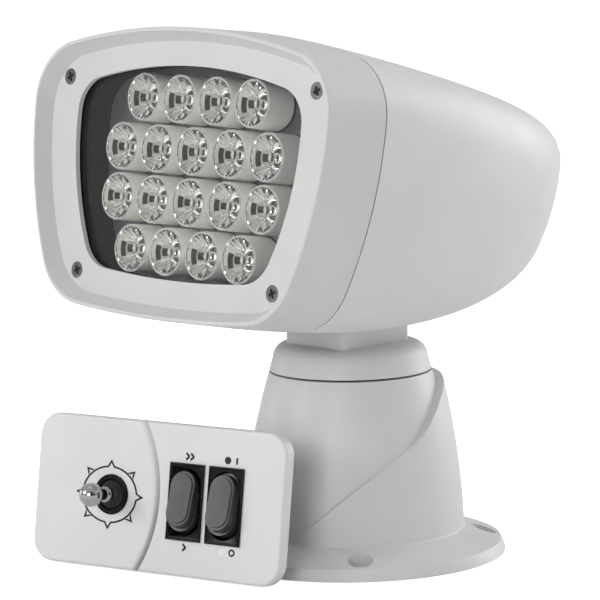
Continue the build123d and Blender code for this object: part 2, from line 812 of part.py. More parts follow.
with BuildPart() as chassis:
    with BuildSketch(head_plane.offset(chassis_front)):
        add(head_outline(
            head_half_w - chassis_side_in, screw_top_h + chassis_over, screw_bottom_h - chassis_under,
            chassis_side_r, chassis_foot_r,
        ))
        with Locations((chassis_slot_x, 0)):
            RectangleRounded(chassis_slot_w, chassis_slot_h, chassis_slot_r, mode=Mode.SUBTRACT)
        with Locations(*screw_points):
            Circle(screw_r, mode=Mode.SUBTRACT)
    extrude(amount=-chassis_t)
    for side in (-1, 1):
        with BuildSketch(head_side.offset(side * cheek_in_x)):
            with Locations((axle_off, axle_up)):
                Circle(cheek_r)
            with Locations((chassis_front - chassis_t - cheek_root_t / 2, cheek_root_h)):
                Rectangle(cheek_root_t, cheek_root)
            make_hull()
        extrude(amount=side * cheek_t)
    with BuildSketch(head_side):
        with Locations((axle_off, axle_up)):
            Circle(axle_r)
    extrude(amount=2 * cheek_in_x, both=True, mode=Mode.SUBTRACT)
    with BuildSketch(head_side):
        with Locations((chassis_front - chassis_t - cheek_hole_off, cheek_hole_h)):
            Circle(cheek_hole_r)
    extrude(amount=2 * cheek_in_x, both=True, mode=Mode.SUBTRACT)
save(chassis, "chassis")

chassis_screws = screw_group(
    head_plane.offset(chassis_front - chassis_t), screw_points,
    chassis_head_r, chassis_head_t, screw_r, chassis_t + 7,
)
save(chassis_screws, "chassis_screws")

axle_out_x = cheek_in_x + cheek_t
with BuildPart() as tilt_axle:
    with BuildSketch(Plane.YZ.offset(-axle_out_x)):
        with Locations((0, axle_h)):
            Circle(axle_r)
    extrude(amount=2 * axle_out_x + axle_head_t + 1)
    with BuildSketch(Plane.YZ.offset(-axle_out_x)):
        with Locations((0, axle_h)):
            RegularPolygon(axle_head_w / 2, 6)
    extrude(amount=-axle_head_t)
save(tilt_axle, "tilt_axle")

with BuildPart() as axle_nut:
    with BuildSketch(Plane.YZ.offset(axle_out_x)):
        with Locations((0, axle_h)):
            RegularPolygon(axle_head_w / 2, 6)
            Circle(axle_r, mode=Mode.SUBTRACT)
    extrude(amount=axle_head_t)
save(axle_nut, "axle_nut")

# Bezel: dished face, window opening and a skirt back to the joint
bezel_back = joint_off + head_joint_gap / 2
lip_back = face_off - lip_t
glass_front = lip_back - gasket_head_t
glass_back = glass_front - glass_t


def window_outline(margin):
    """Outline of the window opening, grown by margin."""
    return head_outline(
        window_half_w + margin, window_top + margin, window_bottom - margin,
        window_top_r + margin, window_bottom_r + margin,
    )


def body_outline(inset, flare):
    """Outline of the head's body, moved inwards by inset; flare adds the skirt's draft."""
    return head_outline(
        head_half_w + flare - inset, head_top + flare - inset, head_bottom - flare + inset,
        top_corner_r - inset / 2, bottom_corner_r - inset / 2,
    )


with BuildPart() as bezel:
    with BuildSketch(head_plane.offset(bezel_back)):
        add(body_outline(0, draft))
    with BuildSketch(head_plane.offset(crest_off)):
        add(body_outline(0, 0))
    loft()
    crest = faces().sort_by(Axis(head_plane.origin, forward))[-1]
    fillet(crest.edges(), 1.2)
    with BuildSketch(head_plane.offset(face_off)):
        add(body_outline(dish_w, 0))
    with BuildSketch(head_plane.offset(crest_off + 0.1)):
        add(body_outline(rim_w, 0))
    loft(mode=Mode.SUBTRACT)
    with BuildSketch(head_plane.offset(bezel_back)):
        add(body_outline(head_wall, draft))
    with BuildSketch(head_plane.offset(lip_back)):
        add(body_outline(head_wall, draft / 3))
    loft(mode=Mode.SUBTRACT)
    with BuildSketch(head_plane.offset(bezel_back)):
        add(window_outline(0))
    extrude(amount=2 * crest_off - bezel_back, mode=Mode.SUBTRACT)
    with BuildSketch(head_plane.offset(rear_front)):
        with Locations(*screw_points):
            Circle(boss_r)
    extrude(amount=lip_back - rear_front)
    with BuildSketch(head_plane.offset(rear_front)):
        with Locations(*screw_points):
            Circle(screw_r)
    extrude(amount=face_off - rear_front, mode=Mode.SUBTRACT)
    with BuildSketch(head_plane.offset(face_off)):
        with Locations(*screw_points):
            Circle(screw_head_r)
    extrude(amount=-2.2, taper=42, mode=Mode.SUBTRACT)
save(bezel, "bezel")

with BuildPart() as bezel_screws:
    with BuildSketch(head_plane.offset(face_off)):
        with Locations(*screw_points):
            Circle(screw_head_r)
    extrude(amount=-2.2, taper=42)
    with BuildSketch(head_plane.offset(face_off)):
        with Locations(*screw_points):
            Rectangle(4.6, 0.9, rotation=25)
            Rectangle(0.9, 4.6, rotation=25)
    extrude(amount=-1.3, mode=Mode.SUBTRACT)
    with BuildSketch(head_plane.offset(face_off - 1.5)):
        with Locations(*screw_points):
            Circle(screw_r - 0.01)
    extrude(amount=rear_front - face_off - 6)
save(bezel_screws, "bezel_screws")

with BuildPart() as window_gasket:
    with BuildSketch(head_plane.offset(lip_back)):
        add(window_outline(glass_margin))
        add(window_outline(0.8), mode=Mode.SUBTRACT)
    extrude(amount=-gasket_head_t)
save(window_gasket, "window_gasket")

with BuildPart() as window_glass:
    with BuildSketch(head_plane.offset(glass_front)):
        add(window_outline(glass_margin))
    extrude(amount=-glass_t)
save(window_glass, "window_glass")

with BuildPart() as light_shroud:
    with BuildSketch(head_plane.offset(glass_back)):
        add(window_outline(glass_margin - 0.4))
        add(window_outline(glass_margin - 0.4 - shroud_t), mode=Mode.SUBTRACT)
    extrude(amount=board_front - glass_back)
save(light_shroud, "light_shroud")

with BuildPart() as led_board:
    with BuildSketch(head_plane.offset(board_front)):
        add(window_outline(glass_margin - 0.4))
    extrude(amount=-board_t)
save(led_board, "led_board")

# Rows of 4, 5, 5 and 4 lamps; the outer rows stand half a pitch inwards
lamp_points = []
for row, count in enumerate((4, 5, 5, 4)):
    for i in range(count):
        lamp_points.append(((i - (count - 1) / 2) * lens_pitch_x, (1.5 - row) * lens_pitch_h))

with BuildPart() as leds:
    with BuildSketch(head_plane.offset(board_front)):
        with Locations(*lamp_points):
            Rectangle(5, 5)
    extrude(amount=0.8)
    with BuildSketch(head_plane.offset(board_front + 0.8)):
        with Locations(*lamp_points):
            Circle(1.7)
    extrude(amount=1.2, taper=25)
save(leds, "leds")


def revolved_at_lamps(profile):
    """Revolve a half section (radius, distance forward) about each lamp's axis."""
    with BuildPart() as one:
        with BuildSketch(Plane.XZ):
            with BuildLine():
                Polyline(*profile, close=True)
            make_face()
        revolve(axis=Axis.Z)
    with BuildPart() as group:
        with Locations(head_plane):
            with Locations(*lamp_points):
                add(one.part)
    return group


lens_back = led_gap - lens_depth
lenses = revolved_at_lamps([
    (0, -lens_well_d), (lens_well_r, 1 - lens_well_d), (lens_well_r + 0.6, -lens_edge),
    (lens_r - lens_edge, 0), (lens_r, -lens_edge), (lens_r, -lens_front_t), (lens_foot_r, lens_back),
    (led_well_r, lens_back), (led_well_r - 0.2, lens_back + led_well_d), (0, lens_back + led_well_d + 0.5),
])
save(lenses, "lenses")

lens_holders = revolved_at_lamps([
    (lens_r, -lens_edge), (lens_r + barrel_wall, -lens_edge), (lens_r + barrel_wall + 0.2, -barrel_depth),
    (lens_foot_r, -barrel_depth), (lens_foot_r, -lens_depth), (lens_r - 0.5, -lens_depth),
    (lens_r, -lens_front_t - 1),
])
save(lens_holders, "lens_holders")

with BuildPart() as holder_rings:
    with BuildSketch(head_plane.offset(board_front)):
        with Locations(*lamp_points):
            Circle(lens_r + barrel_wall + ring_proud)
            Circle(lens_foot_r, mode=Mode.SUBTRACT)
    extrude(amount=ring_t)
save(holder_rings, "holder_rings")

with BuildPart() as heatsink:
    with BuildSketch(head_plane.offset(sink_front)):
        add(window_outline(glass_margin - 1.4))
    extrude(amount=-sink_plate_t)
    with BuildSketch(head_plane.offset(fin_front)):
        with GridLocations(fin_pitch, 1, fin_count, 1):
            Rectangle(fin_t, fin_h)
    extrude(amount=-fin_len)
save(heatsink, "heatsink")

with BuildPart() as led_driver:
    with BuildSketch(head_plane.offset(chassis_front - chassis_t)):
        with Locations((driver_x, 8)):
            RectangleRounded(driver_w, driver_h, 3)
    extrude(amount=-driver_t)
save(led_driver, "led_driver")

# Rear shell: a bullet form lofted from the joint to the tail
shell_stations = (0.0, 0.14, 0.28, 0.42, 0.55, 0.68, 0.79, 0.88, 0.945, 0.982, 0.997)


def shell_section(share, inset):
    """Cross-section of the rear shell at a share of its length, moved inwards by inset."""
    half_w = (head_half_w + draft) * (1 - share ** tail_w_power) ** (1 / tail_w_power)
    top_share = (1 - share ** tail_top_powers[0]) ** (1 / tail_top_powers[1])
    top = tail_h + (head_top + draft - tail_h) * top_share
    bottom_share = (1 - share ** tail_bottom_powers[0]) ** (1 / tail_bottom_powers[1])
    bottom = tail_h + (head_bottom - draft - tail_h) * bottom_share
    size = (top - bottom) / (head_top - head_bottom + 2 * draft)
    return head_outline(
        half_w - inset, top - inset, bottom + inset,
        (top_corner_r - inset / 2) * size, (bottom_corner_r - inset / 2) * size,
    )


with BuildPart() as shell_form:
    for share in shell_stations:
        with BuildSketch(head_plane.offset(rear_front - share * shell_len)):
            add(shell_section(share, 0.0))
    loft()
    tail_face = faces().sort_by(Axis(head_plane.origin, forward))[0]
    fillet(tail_face.edges(), 1.2)

with BuildPart() as shell_cavity:
    for share in shell_stations[:-2]:
        with BuildSketch(head_plane.offset(rear_front - share * (shell_len - head_wall))):
            add(shell_section(share, head_wall))
    loft()

with BuildPart() as shell_bosses:
    with BuildSketch(head_plane.offset(rear_front)):
        for x, up in screw_points:
            with Locations((x, up)):
                Circle(boss_r)
                Rectangle(4 * boss_r, rib_t, rotation=0 if x > 0 else 180, align=(Align.MIN, Align.CENTER))
    extrude(amount=-boss_len)
    with BuildSketch(head_plane.offset(rear_front)):
        with Locations(*screw_points):
            Circle(screw_r)
    extrude(amount=-boss_len, mode=Mode.SUBTRACT)
    add(shell_form.part, mode=Mode.INTERSECT)

with BuildPart() as rear_shell:
    add(shell_form.part)
    add(shell_cavity.part, mode=Mode.SUBTRACT)
    add(shell_bosses.part)
    # Slot in the belly for the neck, over the whole tilt
    with BuildSketch(Plane.XY.offset(collar_bottom)):
        with Locations((0, (slot_front_y + slot_back_y) / 2)):
            RectangleRounded(2 * cheek_in_x - 0.2, slot_back_y - slot_front_y, 5)
    extrude(amount=axle_h - collar_bottom - ear_r, mode=Mode.SUBTRACT)
save(rear_shell, "rear_shell")

with BuildPart() as housing_seal:
    with BuildSketch(head_plane.offset(bezel_back)):
        add(body_outline(0.9, draft))
        add(body_outline(head_wall - 0.2, draft), mode=Mode.SUBTRACT)
    extrude(amount=-head_joint_gap)
save(housing_seal, "housing_seal")

# Control panel
swage_r = (panel_h ** 2 / 4 + swage_bulge ** 2) / (2 * swage_bulge)
switch_xs = (switch_speed_x, switch_power_x)
with BuildPart() as panel_plate:
    with BuildSketch(panel_plane.offset(-panel_t)):
        with Locations((0, panel_h / 2)):
            RectangleRounded(panel_w, panel_h, panel_corner)
    extrude(amount=panel_t)
    fillet(faces().sort_by(Axis(panel_plane.origin, panel_out))[-1].edges(), 1.6)
    with BuildSketch(panel_plane.offset(-panel_face_t)):
        with Locations((0, panel_h / 2)):
            RectangleRounded(
                panel_w - 2 * panel_wall, panel_h - 2 * panel_wall, panel_corner - panel_wall,
            )
    extrude(amount=-panel_t, mode=Mode.SUBTRACT)
    swage_centre = panel_plane.from_local_coords((swage_x - swage_r, panel_h / 2, 0))
    with BuildSketch(Plane(origin=swage_centre, x_dir=panel_right, z_dir=-panel_plane.y_dir)):
        with BuildLine():
            Polyline(
                (swage_r - swage_w, 0), (swage_r, -swage_depth), (swage_r + swage_wall, 0),
                (swage_r + swage_wall, panel_t), (swage_r - swage_w, panel_t), close=True,
            )
        make_face()
    revolve(axis=Axis(swage_centre, panel_out), mode=Mode.SUBTRACT)
    with BuildSketch(panel_plane):
        with Locations((stick_x, stick_h)):
            Circle(stick_ring_r)
        with Locations(*[(x, switch_mid_h) for x in switch_xs]):
            Rectangle(switch_body_w + 2 * drop_fit, switch_body_h + 2 * drop_fit)
    extrude(amount=-panel_t, mode=Mode.SUBTRACT)
save(panel_plate, "panel_plate")


def switch_body(x):
    """Rocker switch housing: rim on the plate, body behind it and a well for the rocker."""
    with BuildPart() as body:
        with BuildSketch(panel_plane):
            with Locations((x, switch_mid_h)):
                Rectangle(switch_w, switch_h)
        extrude(amount=switch_rim_t)
        fillet(faces().sort_by(Axis(panel_plane.origin, panel_out))[-1].edges(), 0.4)
        with BuildSketch(panel_plane.offset(switch_rim_t)):
            with Locations((x, switch_mid_h)):
                RectangleRounded(switch_w - 2 * face_border, switch_h - 2 * face_border, face_border)
        extrude(amount=-face_sink, taper=30, mode=Mode.SUBTRACT)
        with BuildSketch(panel_plane):
            with Locations((x, switch_mid_h)):
                Rectangle(switch_body_w, switch_body_h)
        extrude(amount=-switch_body_d)
        with BuildSketch(panel_plane.offset(switch_rim_t)):
            with Locations((x, switch_mid_h)):
                SlotOverall(well_len, well_w, rotation=90)
        extrude(amount=-switch_rim_t - well_d, mode=Mode.SUBTRACT)
        pin_plane = Plane(
            origin=panel_plane.from_local_coords((x, switch_mid_h, -rocker_pivot_d)),
            x_dir=panel_plane.y_dir, z_dir=panel_right,
        )
        with BuildSketch(pin_plane):
            Circle(rocker_pin_r)
        extrude(amount=switch_body_w / 2, both=True, mode=Mode.SUBTRACT)
    return body


def rocker(x):
    """Rocker in three rounded tiers; its lower end stands out at rest."""
    lean = radians(rocker_tilt)
    centre = panel_plane.from_local_coords((x, switch_mid_h, -rocker_pivot_d))
    normal = panel_out * cos(lean) + panel_plane.y_dir * sin(lean)
    front = Plane(origin=centre, x_dir=panel_right, z_dir=normal)
    side = Plane(origin=centre, x_dir=front.y_dir, z_dir=panel_right)
    button_top = rocker_body_h + rocker_button_t
    with BuildPart() as piece:
        with BuildSketch(front.offset(-rocker_depth)):
            SlotOverall(rocker_len, well_w - 2 * slide_gap, rotation=90)
        extrude(amount=rocker_depth + rocker_body_h)
        with BuildSketch(side):
            Circle(rocker_pin_r + 1.6)
        extrude(amount=well_w / 2 - slide_gap, both=True)
        with BuildSketch(front.offset(rocker_body_h)):
            SlotOverall(rocker_button_len, rocker_button_w, rotation=90)
        extrude(amount=rocker_button_t, taper=6)
        fillet(faces().sort_by(Axis(centre, normal))[-1].edges(), rocker_round)
        with BuildSketch(front.offset(button_top)):
            SlotOverall(rocker_pad_len, rocker_pad_w, rotation=90)
        extrude(amount=rocker_pad_t, taper=12)
        fillet(faces().sort_by(Axis(centre, normal))[-1].edges(), rocker_round / 2)
        with BuildSketch(side):
            Circle(rocker_pin_r + bore_fit)
        extrude(amount=well_w, both=True, mode=Mode.SUBTRACT)
    return piece


save(switch_body(switch_speed_x), "switch_speed")
save(switch_body(switch_power_x), "switch_power")
save(rocker(switch_speed_x), "rocker_speed")
save(rocker(switch_power_x), "rocker_power")

with BuildPart() as rocker_pins:
    for x in switch_xs:
        pin_centre = panel_plane.from_local_coords((x, switch_mid_h, -rocker_pivot_d))
        with BuildSketch(Plane(origin=pin_centre, x_dir=panel_plane.y_dir, z_dir=panel_right)):
            Circle(rocker_pin_r)
        extrude(amount=switch_body_w / 2 - 0.1, both=True)
save(rocker_pins, "rocker_pins")

with BuildPart() as switch_terminals:
    with BuildSketch(panel_plane.offset(-switch_body_d)):
        for x in switch_xs:
            with Locations(*[(x, switch_mid_h + step) for step in (-10, 0, 10)]):
                Rectangle(6.3, 0.8)
    extrude(amount=-terminal_len)
save(switch_terminals, "switch_terminals")

# Joystick: housing, gimbal and sprung lever
stick_centre = panel_plane.from_local_coords((stick_x, stick_h, -stick_pivot_d))
stick_axis = Axis(stick_centre, panel_out)
stick_plane = Plane(origin=stick_centre, x_dir=panel_right, z_dir=panel_out)
stick_side = Plane(origin=stick_centre, x_dir=panel_plane.y_dir, z_dir=panel_right)
stick_section = Plane(origin=stick_centre, x_dir=panel_right, z_dir=-panel_plane.y_dir)
housing_back = -panel_face_t - housing_d

with BuildPart() as joystick_housing:
    with BuildSketch(panel_plane.offset(-panel_face_t)):
        with Locations((stick_x, stick_h)):
            RectangleRounded(2 * housing_half, 2 * housing_half, 3)
    extrude(amount=-housing_d)
    with BuildSketch(panel_plane.offset(-panel_face_t)):
        with Locations((stick_x, stick_h)):
            Circle(dome_ball_r + 2 * slide_gap)
    extrude(amount=housing_wall - housing_d, mode=Mode.SUBTRACT)
    with BuildSketch(stick_side):
        Circle(pivot_pin_r + bore_fit)
    extrude(amount=housing_half - 0.8, both=True, mode=Mode.SUBTRACT)
save(joystick_housing, "joystick_housing")

with BuildPart() as joystick_ring:
    with BuildSketch(panel_plane.offset(-panel_face_t)):
        with Locations((stick_x, stick_h)):
            annulus(stick_ring_r, stick_ring_r - 0.8)
    extrude(amount=panel_face_t)
    with BuildSketch(panel_plane):
        with Locations((stick_x, stick_h)):
            annulus(stick_ring_r, stick_ring_in_r)
    extrude(amount=stick_ring_t)
save(joystick_ring, "joystick_ring")

with BuildPart() as gimbal_ring:
    with BuildSketch(stick_plane.offset(-gimbal_t / 2)):
        annulus(gimbal_out_r, gimbal_in_r)
    extrude(amount=gimbal_t)
    with BuildSketch(stick_side):
        Circle(pivot_pin_r)
    extrude(amount=gimbal_out_r + 1, both=True, mode=Mode.SUBTRACT)
    with BuildSketch(stick_section):
        Circle(pivot_pin_r + bore_fit)
    extrude(amount=gimbal_out_r + 1, both=True, mode=Mode.SUBTRACT)
save(gimbal_ring, "gimbal_ring")

with BuildPart() as gimbal_pins:
    with BuildSketch(stick_side.offset(gimbal_in_r + 0.3)):
        Circle(pivot_pin_r)
    extrude(amount=housing_half - 1.2 - gimbal_in_r)
    mirror(about=stick_side)
save(gimbal_pins, "gimbal_pins")

with BuildPart() as lever_pin:
    with BuildSketch(stick_section):
        Circle(pivot_pin_r)
    extrude(amount=gimbal_out_r - 0.1, both=True)
save(lever_pin, "lever_pin")

with BuildPart() as joystick_dome:
    with BuildSketch(stick_section):
        Circle(dome_ball_r)
        Circle(dome_ball_r - dome_wall, mode=Mode.SUBTRACT)
        with Locations((stem_r, dome_cut)):
            Rectangle(dome_ball_r, dome_ball_r, align=Align.MIN, mode=Mode.INTERSECT)
    revolve(axis=stick_axis)
save(joystick_dome, "joystick_dome")

knob_h = knob_out + stick_pivot_d
with BuildPart() as joystick_lever:
    with BuildSketch(stick_section):
        with Locations((0, knob_h)):
            Circle(knob_r)
        with BuildLine():
            Polyline(
                (0, -hub_r), (hub_r, -hub_r), (hub_r, hub_r), (stem_r, hub_r + 1),
                (stem_r, dome_ball_r + 0.4), (collar_r, dome_ball_r + 1.2), (collar_r, dome_ball_r + 2.8),
                (hub_r, knob_h - knob_r), (hub_r, knob_h), (0, knob_h), close=True,
            )
        make_face()
        with Locations((0, knob_h)):
            Rectangle(2 * knob_r, 6 * knob_r, align=(Align.MAX, Align.CENTER), mode=Mode.SUBTRACT)
    revolve(axis=stick_axis)
    with BuildSketch(stick_section):
        Circle(pivot_pin_r)
    extrude(amount=hub_r + 1, both=True, mode=Mode.SUBTRACT)
save(joystick_lever, "joystick_lever")

with BuildPart() as joystick_board:
    with BuildSketch(panel_plane.offset(housing_back)):
        with Locations((stick_x, stick_h)):
            Rectangle(stick_board_w, stick_board_h)
    extrude(amount=-board_t)
save(joystick_board, "joystick_board")

with BuildPart() as panel_connector:
    with BuildSketch(panel_plane.offset(housing_back - board_t)):
        with Locations((stick_x, stick_h - 12)):
            Rectangle(connector_w, connector_h)
    extrude(amount=-connector_t)
    with BuildSketch(panel_plane.offset(housing_back - board_t - connector_t)):
        with Locations((stick_x, stick_h - 12)):
            Rectangle(connector_w - 2.4, connector_h - 2.4)
    extrude(amount=connector_t - 1.5, mode=Mode.SUBTRACT)
save(panel_connector, "panel_connector")
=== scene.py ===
import bpy
import json
import math
import numpy as np
from mathutils import Matrix, Vector
from mathutils.kdtree import KDTree

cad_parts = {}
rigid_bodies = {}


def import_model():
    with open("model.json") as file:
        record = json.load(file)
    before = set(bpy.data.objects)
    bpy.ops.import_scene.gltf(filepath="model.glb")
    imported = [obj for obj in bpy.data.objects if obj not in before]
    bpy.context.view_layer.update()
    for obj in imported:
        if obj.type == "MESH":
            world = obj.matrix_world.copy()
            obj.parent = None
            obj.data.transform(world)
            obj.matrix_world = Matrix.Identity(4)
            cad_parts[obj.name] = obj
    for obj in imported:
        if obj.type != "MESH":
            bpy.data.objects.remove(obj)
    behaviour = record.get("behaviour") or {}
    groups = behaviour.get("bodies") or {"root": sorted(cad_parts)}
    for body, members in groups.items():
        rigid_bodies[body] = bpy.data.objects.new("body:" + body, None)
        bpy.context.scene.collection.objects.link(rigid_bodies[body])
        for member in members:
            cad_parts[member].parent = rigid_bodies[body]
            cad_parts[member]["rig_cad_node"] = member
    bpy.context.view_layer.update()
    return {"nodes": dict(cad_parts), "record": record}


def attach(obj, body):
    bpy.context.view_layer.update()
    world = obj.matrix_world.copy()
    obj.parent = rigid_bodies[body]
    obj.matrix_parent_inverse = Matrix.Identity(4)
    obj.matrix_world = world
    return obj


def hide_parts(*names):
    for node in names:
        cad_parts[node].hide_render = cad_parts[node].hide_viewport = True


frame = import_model()
nodes = frame["nodes"]
bpy.ops.object.select_all(action="DESELECT")
print("frame loaded,", len(nodes), "solids")

# lamp head: right, up and forward from the middle of the lens grid
headPlace = {"tilt": 8.5, "at": (0, -0.1019, 0.1924)}
headTilt = math.radians(headPlace["tilt"])
headRight = Vector((1, 0, 0))
headUp = Vector((0, math.sin(headTilt), math.cos(headTilt)))
headForward = Vector((0, -math.cos(headTilt), math.sin(headTilt)))
# control panel: right, up and out from the middle of its lower edge
panelPlace = {"turn": 13.88, "lean": 9.45, "at": (-0.03014, -0.10618), "thick": 0.0065}
panelTurn = math.radians(panelPlace["turn"])
panelLean = math.radians(panelPlace["lean"])
panelRight = Vector((math.cos(panelTurn), math.sin(panelTurn), 0))
panelOut = Vector((math.sin(panelTurn) * math.cos(panelLean), -math.cos(panelTurn) * math.cos(panelLean),
                   math.sin(panelLean)))
panelUp = panelOut.cross(panelRight)


def spot(origin, right, up, out):
    # a place to build in: x right, y up, z out of the surface
    turn = Matrix((right, up, out)).transposed().to_4x4()
    return Matrix.Translation(origin) @ turn


headSpot = spot(Vector(headPlace["at"]), headRight, headUp, headForward)
panelFoot = Vector((*panelPlace["at"], panelPlace["thick"] * math.sin(panelLean)))
panelSpot = spot(panelFoot, panelRight, panelUp, panelOut)

# small helpers used by every piece
touch = 0.000001  # places closer than this are the same
facing = 0.9  # a face looks along a direction when its normal has at least this share along it
weld = {"newPiece": 0.000004, "solid": 0.00001, "sliver": 0.00002}  # points this close are merged


def pick(*things):
    # selects these pieces and no other; the first one is active
    if bpy.context.mode != "OBJECT":
        bpy.ops.object.mode_set(mode="OBJECT")
    bpy.ops.object.select_all(action="DESELECT")
    for thing in things:
        thing.select_set(True)
    bpy.context.view_layer.objects.active = things[0]


def editMode(thing):
    pick(thing)
    bpy.ops.object.mode_set(mode="EDIT")
    bpy.ops.mesh.select_all(action="DESELECT")


def objectMode():
    bpy.ops.object.mode_set(mode="OBJECT")


def chooseFaces(thing, test):
    # selects the faces whose middle and normal pass the test, ready for the next edit
    editMode(thing)
    bpy.ops.mesh.select_mode(type="FACE")
    objectMode()
    for face in thing.data.polygons:
        face.select = bool(test(face.center, face.normal))
    bpy.ops.object.mode_set(mode="EDIT")


def choosePoints(thing, test):
    editMode(thing)
    bpy.ops.mesh.select_mode(type="VERT")
    objectMode()
    for point in thing.data.vertices:
        point.select = bool(test(point.co))
    bpy.ops.object.mode_set(mode="EDIT")


def grow(move, size):
    # draws the chosen faces or edges out along z and scales them
    bpy.ops.mesh.extrude_region_move(TRANSFORM_OT_translate={"value": (0, 0, move)})
    bpy.ops.transform.resize(value=(size, size, 1))


def applyAll(thing):
    pick(thing)
    for modifier in list(thing.modifiers):
        bpy.ops.object.modifier_apply(modifier=modifier.name)


def placeApplied():
    # puts the fresh piece's place into its mesh and returns it, selected alone
    thing = bpy.context.object
    pick(thing)
    bpy.ops.object.transform_apply(location=True, rotation=True, scale=True)
    return thing


def cleanUp(thing, angle):
    # one skin, faces outwards, sharp only where it turns by more than the angle
    editMode(thing)
    bpy.ops.mesh.select_all(action="SELECT")
    bpy.ops.mesh.remove_doubles(threshold=weld["newPiece"])
    bpy.ops.mesh.normals_make_consistent(inside=False)
    objectMode()
    bpy.ops.object.shade_smooth_by_angle(angle=math.radians(angle))


def settle(thing, where):
    # moves the piece from the bench to its place and leaves the object at the origin
    thing.matrix_world = where
    pick(thing)
    bpy.ops.object.transform_apply(location=True, rotation=True, scale=True)


def hand(thing, name, body, finish, slot, *stands):
    # name, carrier, finish, record slot (not used) and the solids that the piece stands for
    thing.name = name
    thing.data.name = name
    thing.data.materials.clear()
    thing.data.materials.append(finish)
    if stands:
        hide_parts(*stands)
    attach(thing, body)
    return thing


def twinOf(thing):
    pick(thing)
    bpy.ops.object.duplicate(linked=False)
    return bpy.context.view_layer.objects.active


def secondFinish(thing, finish, test):
    # gives the faces that pass the test a finish of their own
    thing.data.materials.append(finish)
    chooseFaces(thing, test)
    thing.active_material_index = len(thing.data.materials) - 1
    bpy.ops.object.material_slot_assign()
    objectMode()


# even shading of the mouldings
evening = {"fade": 1.05,  # above 1, so that a face at the end of the reach still counts a little
           "own": 1e-12}  # a trace of the corner's own face, for a corner with nothing else near


def evenShade(thing, reach, limit):
    # light runs evenly over each face of the moulding: a corner's normal is the mean of the
    # faces near it that look the same way, so that the slivers along a cut don't show
    mesh = thing.data
    faces = mesh.polygons
    faceNormals = np.array([face.normal for face in faces])
    faceAreas = np.array([face.area for face in faces])
    near = KDTree(len(faces))
    touching = [[] for point in mesh.vertices]
    for face in faces:
        near.insert(face.center, face.index)
        for corner in face.loop_indices:
            touching[mesh.loops[corner].vertex_index].append((face.index, corner))
    near.balance()
    level = math.cos(math.radians(limit))
    normals = np.zeros((len(mesh.loops), 3))
    for point in mesh.vertices:
        own = touching[point.index]
        if not own:
            continue
        found = {index: distance for at, index, distance in near.find_range(point.co, reach)}
        for index, corner in own:
            found.setdefault(index, reach / 2)
        others = np.fromiter(found.keys(), dtype=int)
        distances = np.fromiter(found.values(), dtype=float)
        weights = faceAreas[others] * (evening["fade"] - distances / reach)
        mine = [index for index, corner in own]
        alike = (faceNormals[mine] @ faceNormals[others].T > level) * weights
        totals = alike @ faceNormals[others] + faceNormals[mine] * evening["own"]
        normals[[corner for index, corner in own]] = totals / np.linalg.norm(totals, axis=1)[:, None]
    mesh.normals_split_custom_set(normals.tolist())


def smoothed(nodeName, name, body, finish, slot, angle, reach):
    # the solid's own shape as one merged, smooth-shaded skin
    twin = twinOf(nodes[nodeName])
    if "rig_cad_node" in twin:
        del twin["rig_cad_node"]
    bpy.ops.object.parent_clear(type="CLEAR_KEEP_TRANSFORM")
    editMode(twin)
    bpy.ops.mesh.select_all(action="SELECT")
    bpy.ops.mesh.remove_doubles(threshold=weld["solid"])
    bpy.ops.mesh.dissolve_degenerate(threshold=weld["sliver"])
    objectMode()
    bpy.ops.object.shade_smooth_by_angle(angle=math.radians(angle))
    applyAll(twin)
    if reach:
        evenShade(twin, reach, angle)
    return hand(twin, name, body, finish, slot, nodeName)


# finishes: every pattern reads the piece's own coordinates, in metres
noiseMiddle = {"gloss": (0.3, 0.7), "colour": (0.32, 0.68)}  # most of a noise lies between these


def newFinish(name, colour, rough, metal=0.0):
    mat = bpy.data.materials.new(name)
    mat.use_nodes = True
    bsdf = mat.node_tree.nodes["Principled BSDF"]
    bsdf.inputs["Base Color"].default_value = (*colour, 1)
    bsdf.inputs["Roughness"].default_value = rough
    bsdf.inputs["Metallic"].default_value = metal
    return mat, bsdf, mat.node_tree.links


def noise(mat, scale, detail, rough=0.5, stretch=None):
    tree = mat.node_tree
    coord = tree.nodes.new("ShaderNodeTexCoord")
    mapping = tree.nodes.new("ShaderNodeMapping")
    if stretch:
        mapping.inputs["Scale"].default_value = stretch
    texture = tree.nodes.new("ShaderNodeTexNoise")
    texture.inputs["Scale"].default_value = scale
    texture.inputs["Detail"].default_value = detail
    texture.inputs["Roughness"].default_value = rough
    tree.links.new(coord.outputs["Object"], mapping.inputs["Vector"])
    tree.links.new(mapping.outputs["Vector"], texture.inputs["Vector"])
    return texture.outputs["Fac"]


def spread(mat, source, low, high):
    # turns a noise into values from low to high
    tree = mat.node_tree
    ranger = tree.nodes.new("ShaderNodeMapRange")
    ranger.inputs["From Min"].default_value = noiseMiddle["gloss"][0]
    ranger.inputs["From Max"].default_value = noiseMiddle["gloss"][1]
    ranger.inputs["To Min"].default_value = low
    ranger.inputs["To Max"].default_value = high
    tree.links.new(source, ranger.inputs["Value"])
    return ranger.outputs["Result"]


def tint(mat, source, dark, light):
    # turns a noise into colours from dark to light
    tree = mat.node_tree
    ramp = tree.nodes.new("ShaderNodeValToRGB")
    for stop, place, colour in zip(ramp.color_ramp.elements, noiseMiddle["colour"], (dark, light)):
        stop.position = place
        stop.color = (*colour, 1)
    tree.links.new(source, ramp.inputs["Fac"])
    return ramp.outputs["Color"]


def raised(mat, source, distance, strength):
    tree = mat.node_tree
    bump = tree.nodes.new("ShaderNodeBump")
    bump.inputs["Distance"].default_value = distance
    bump.inputs["Strength"].default_value = strength
    tree.links.new(source, bump.inputs["Height"])
    return bump.outputs["Normal"]


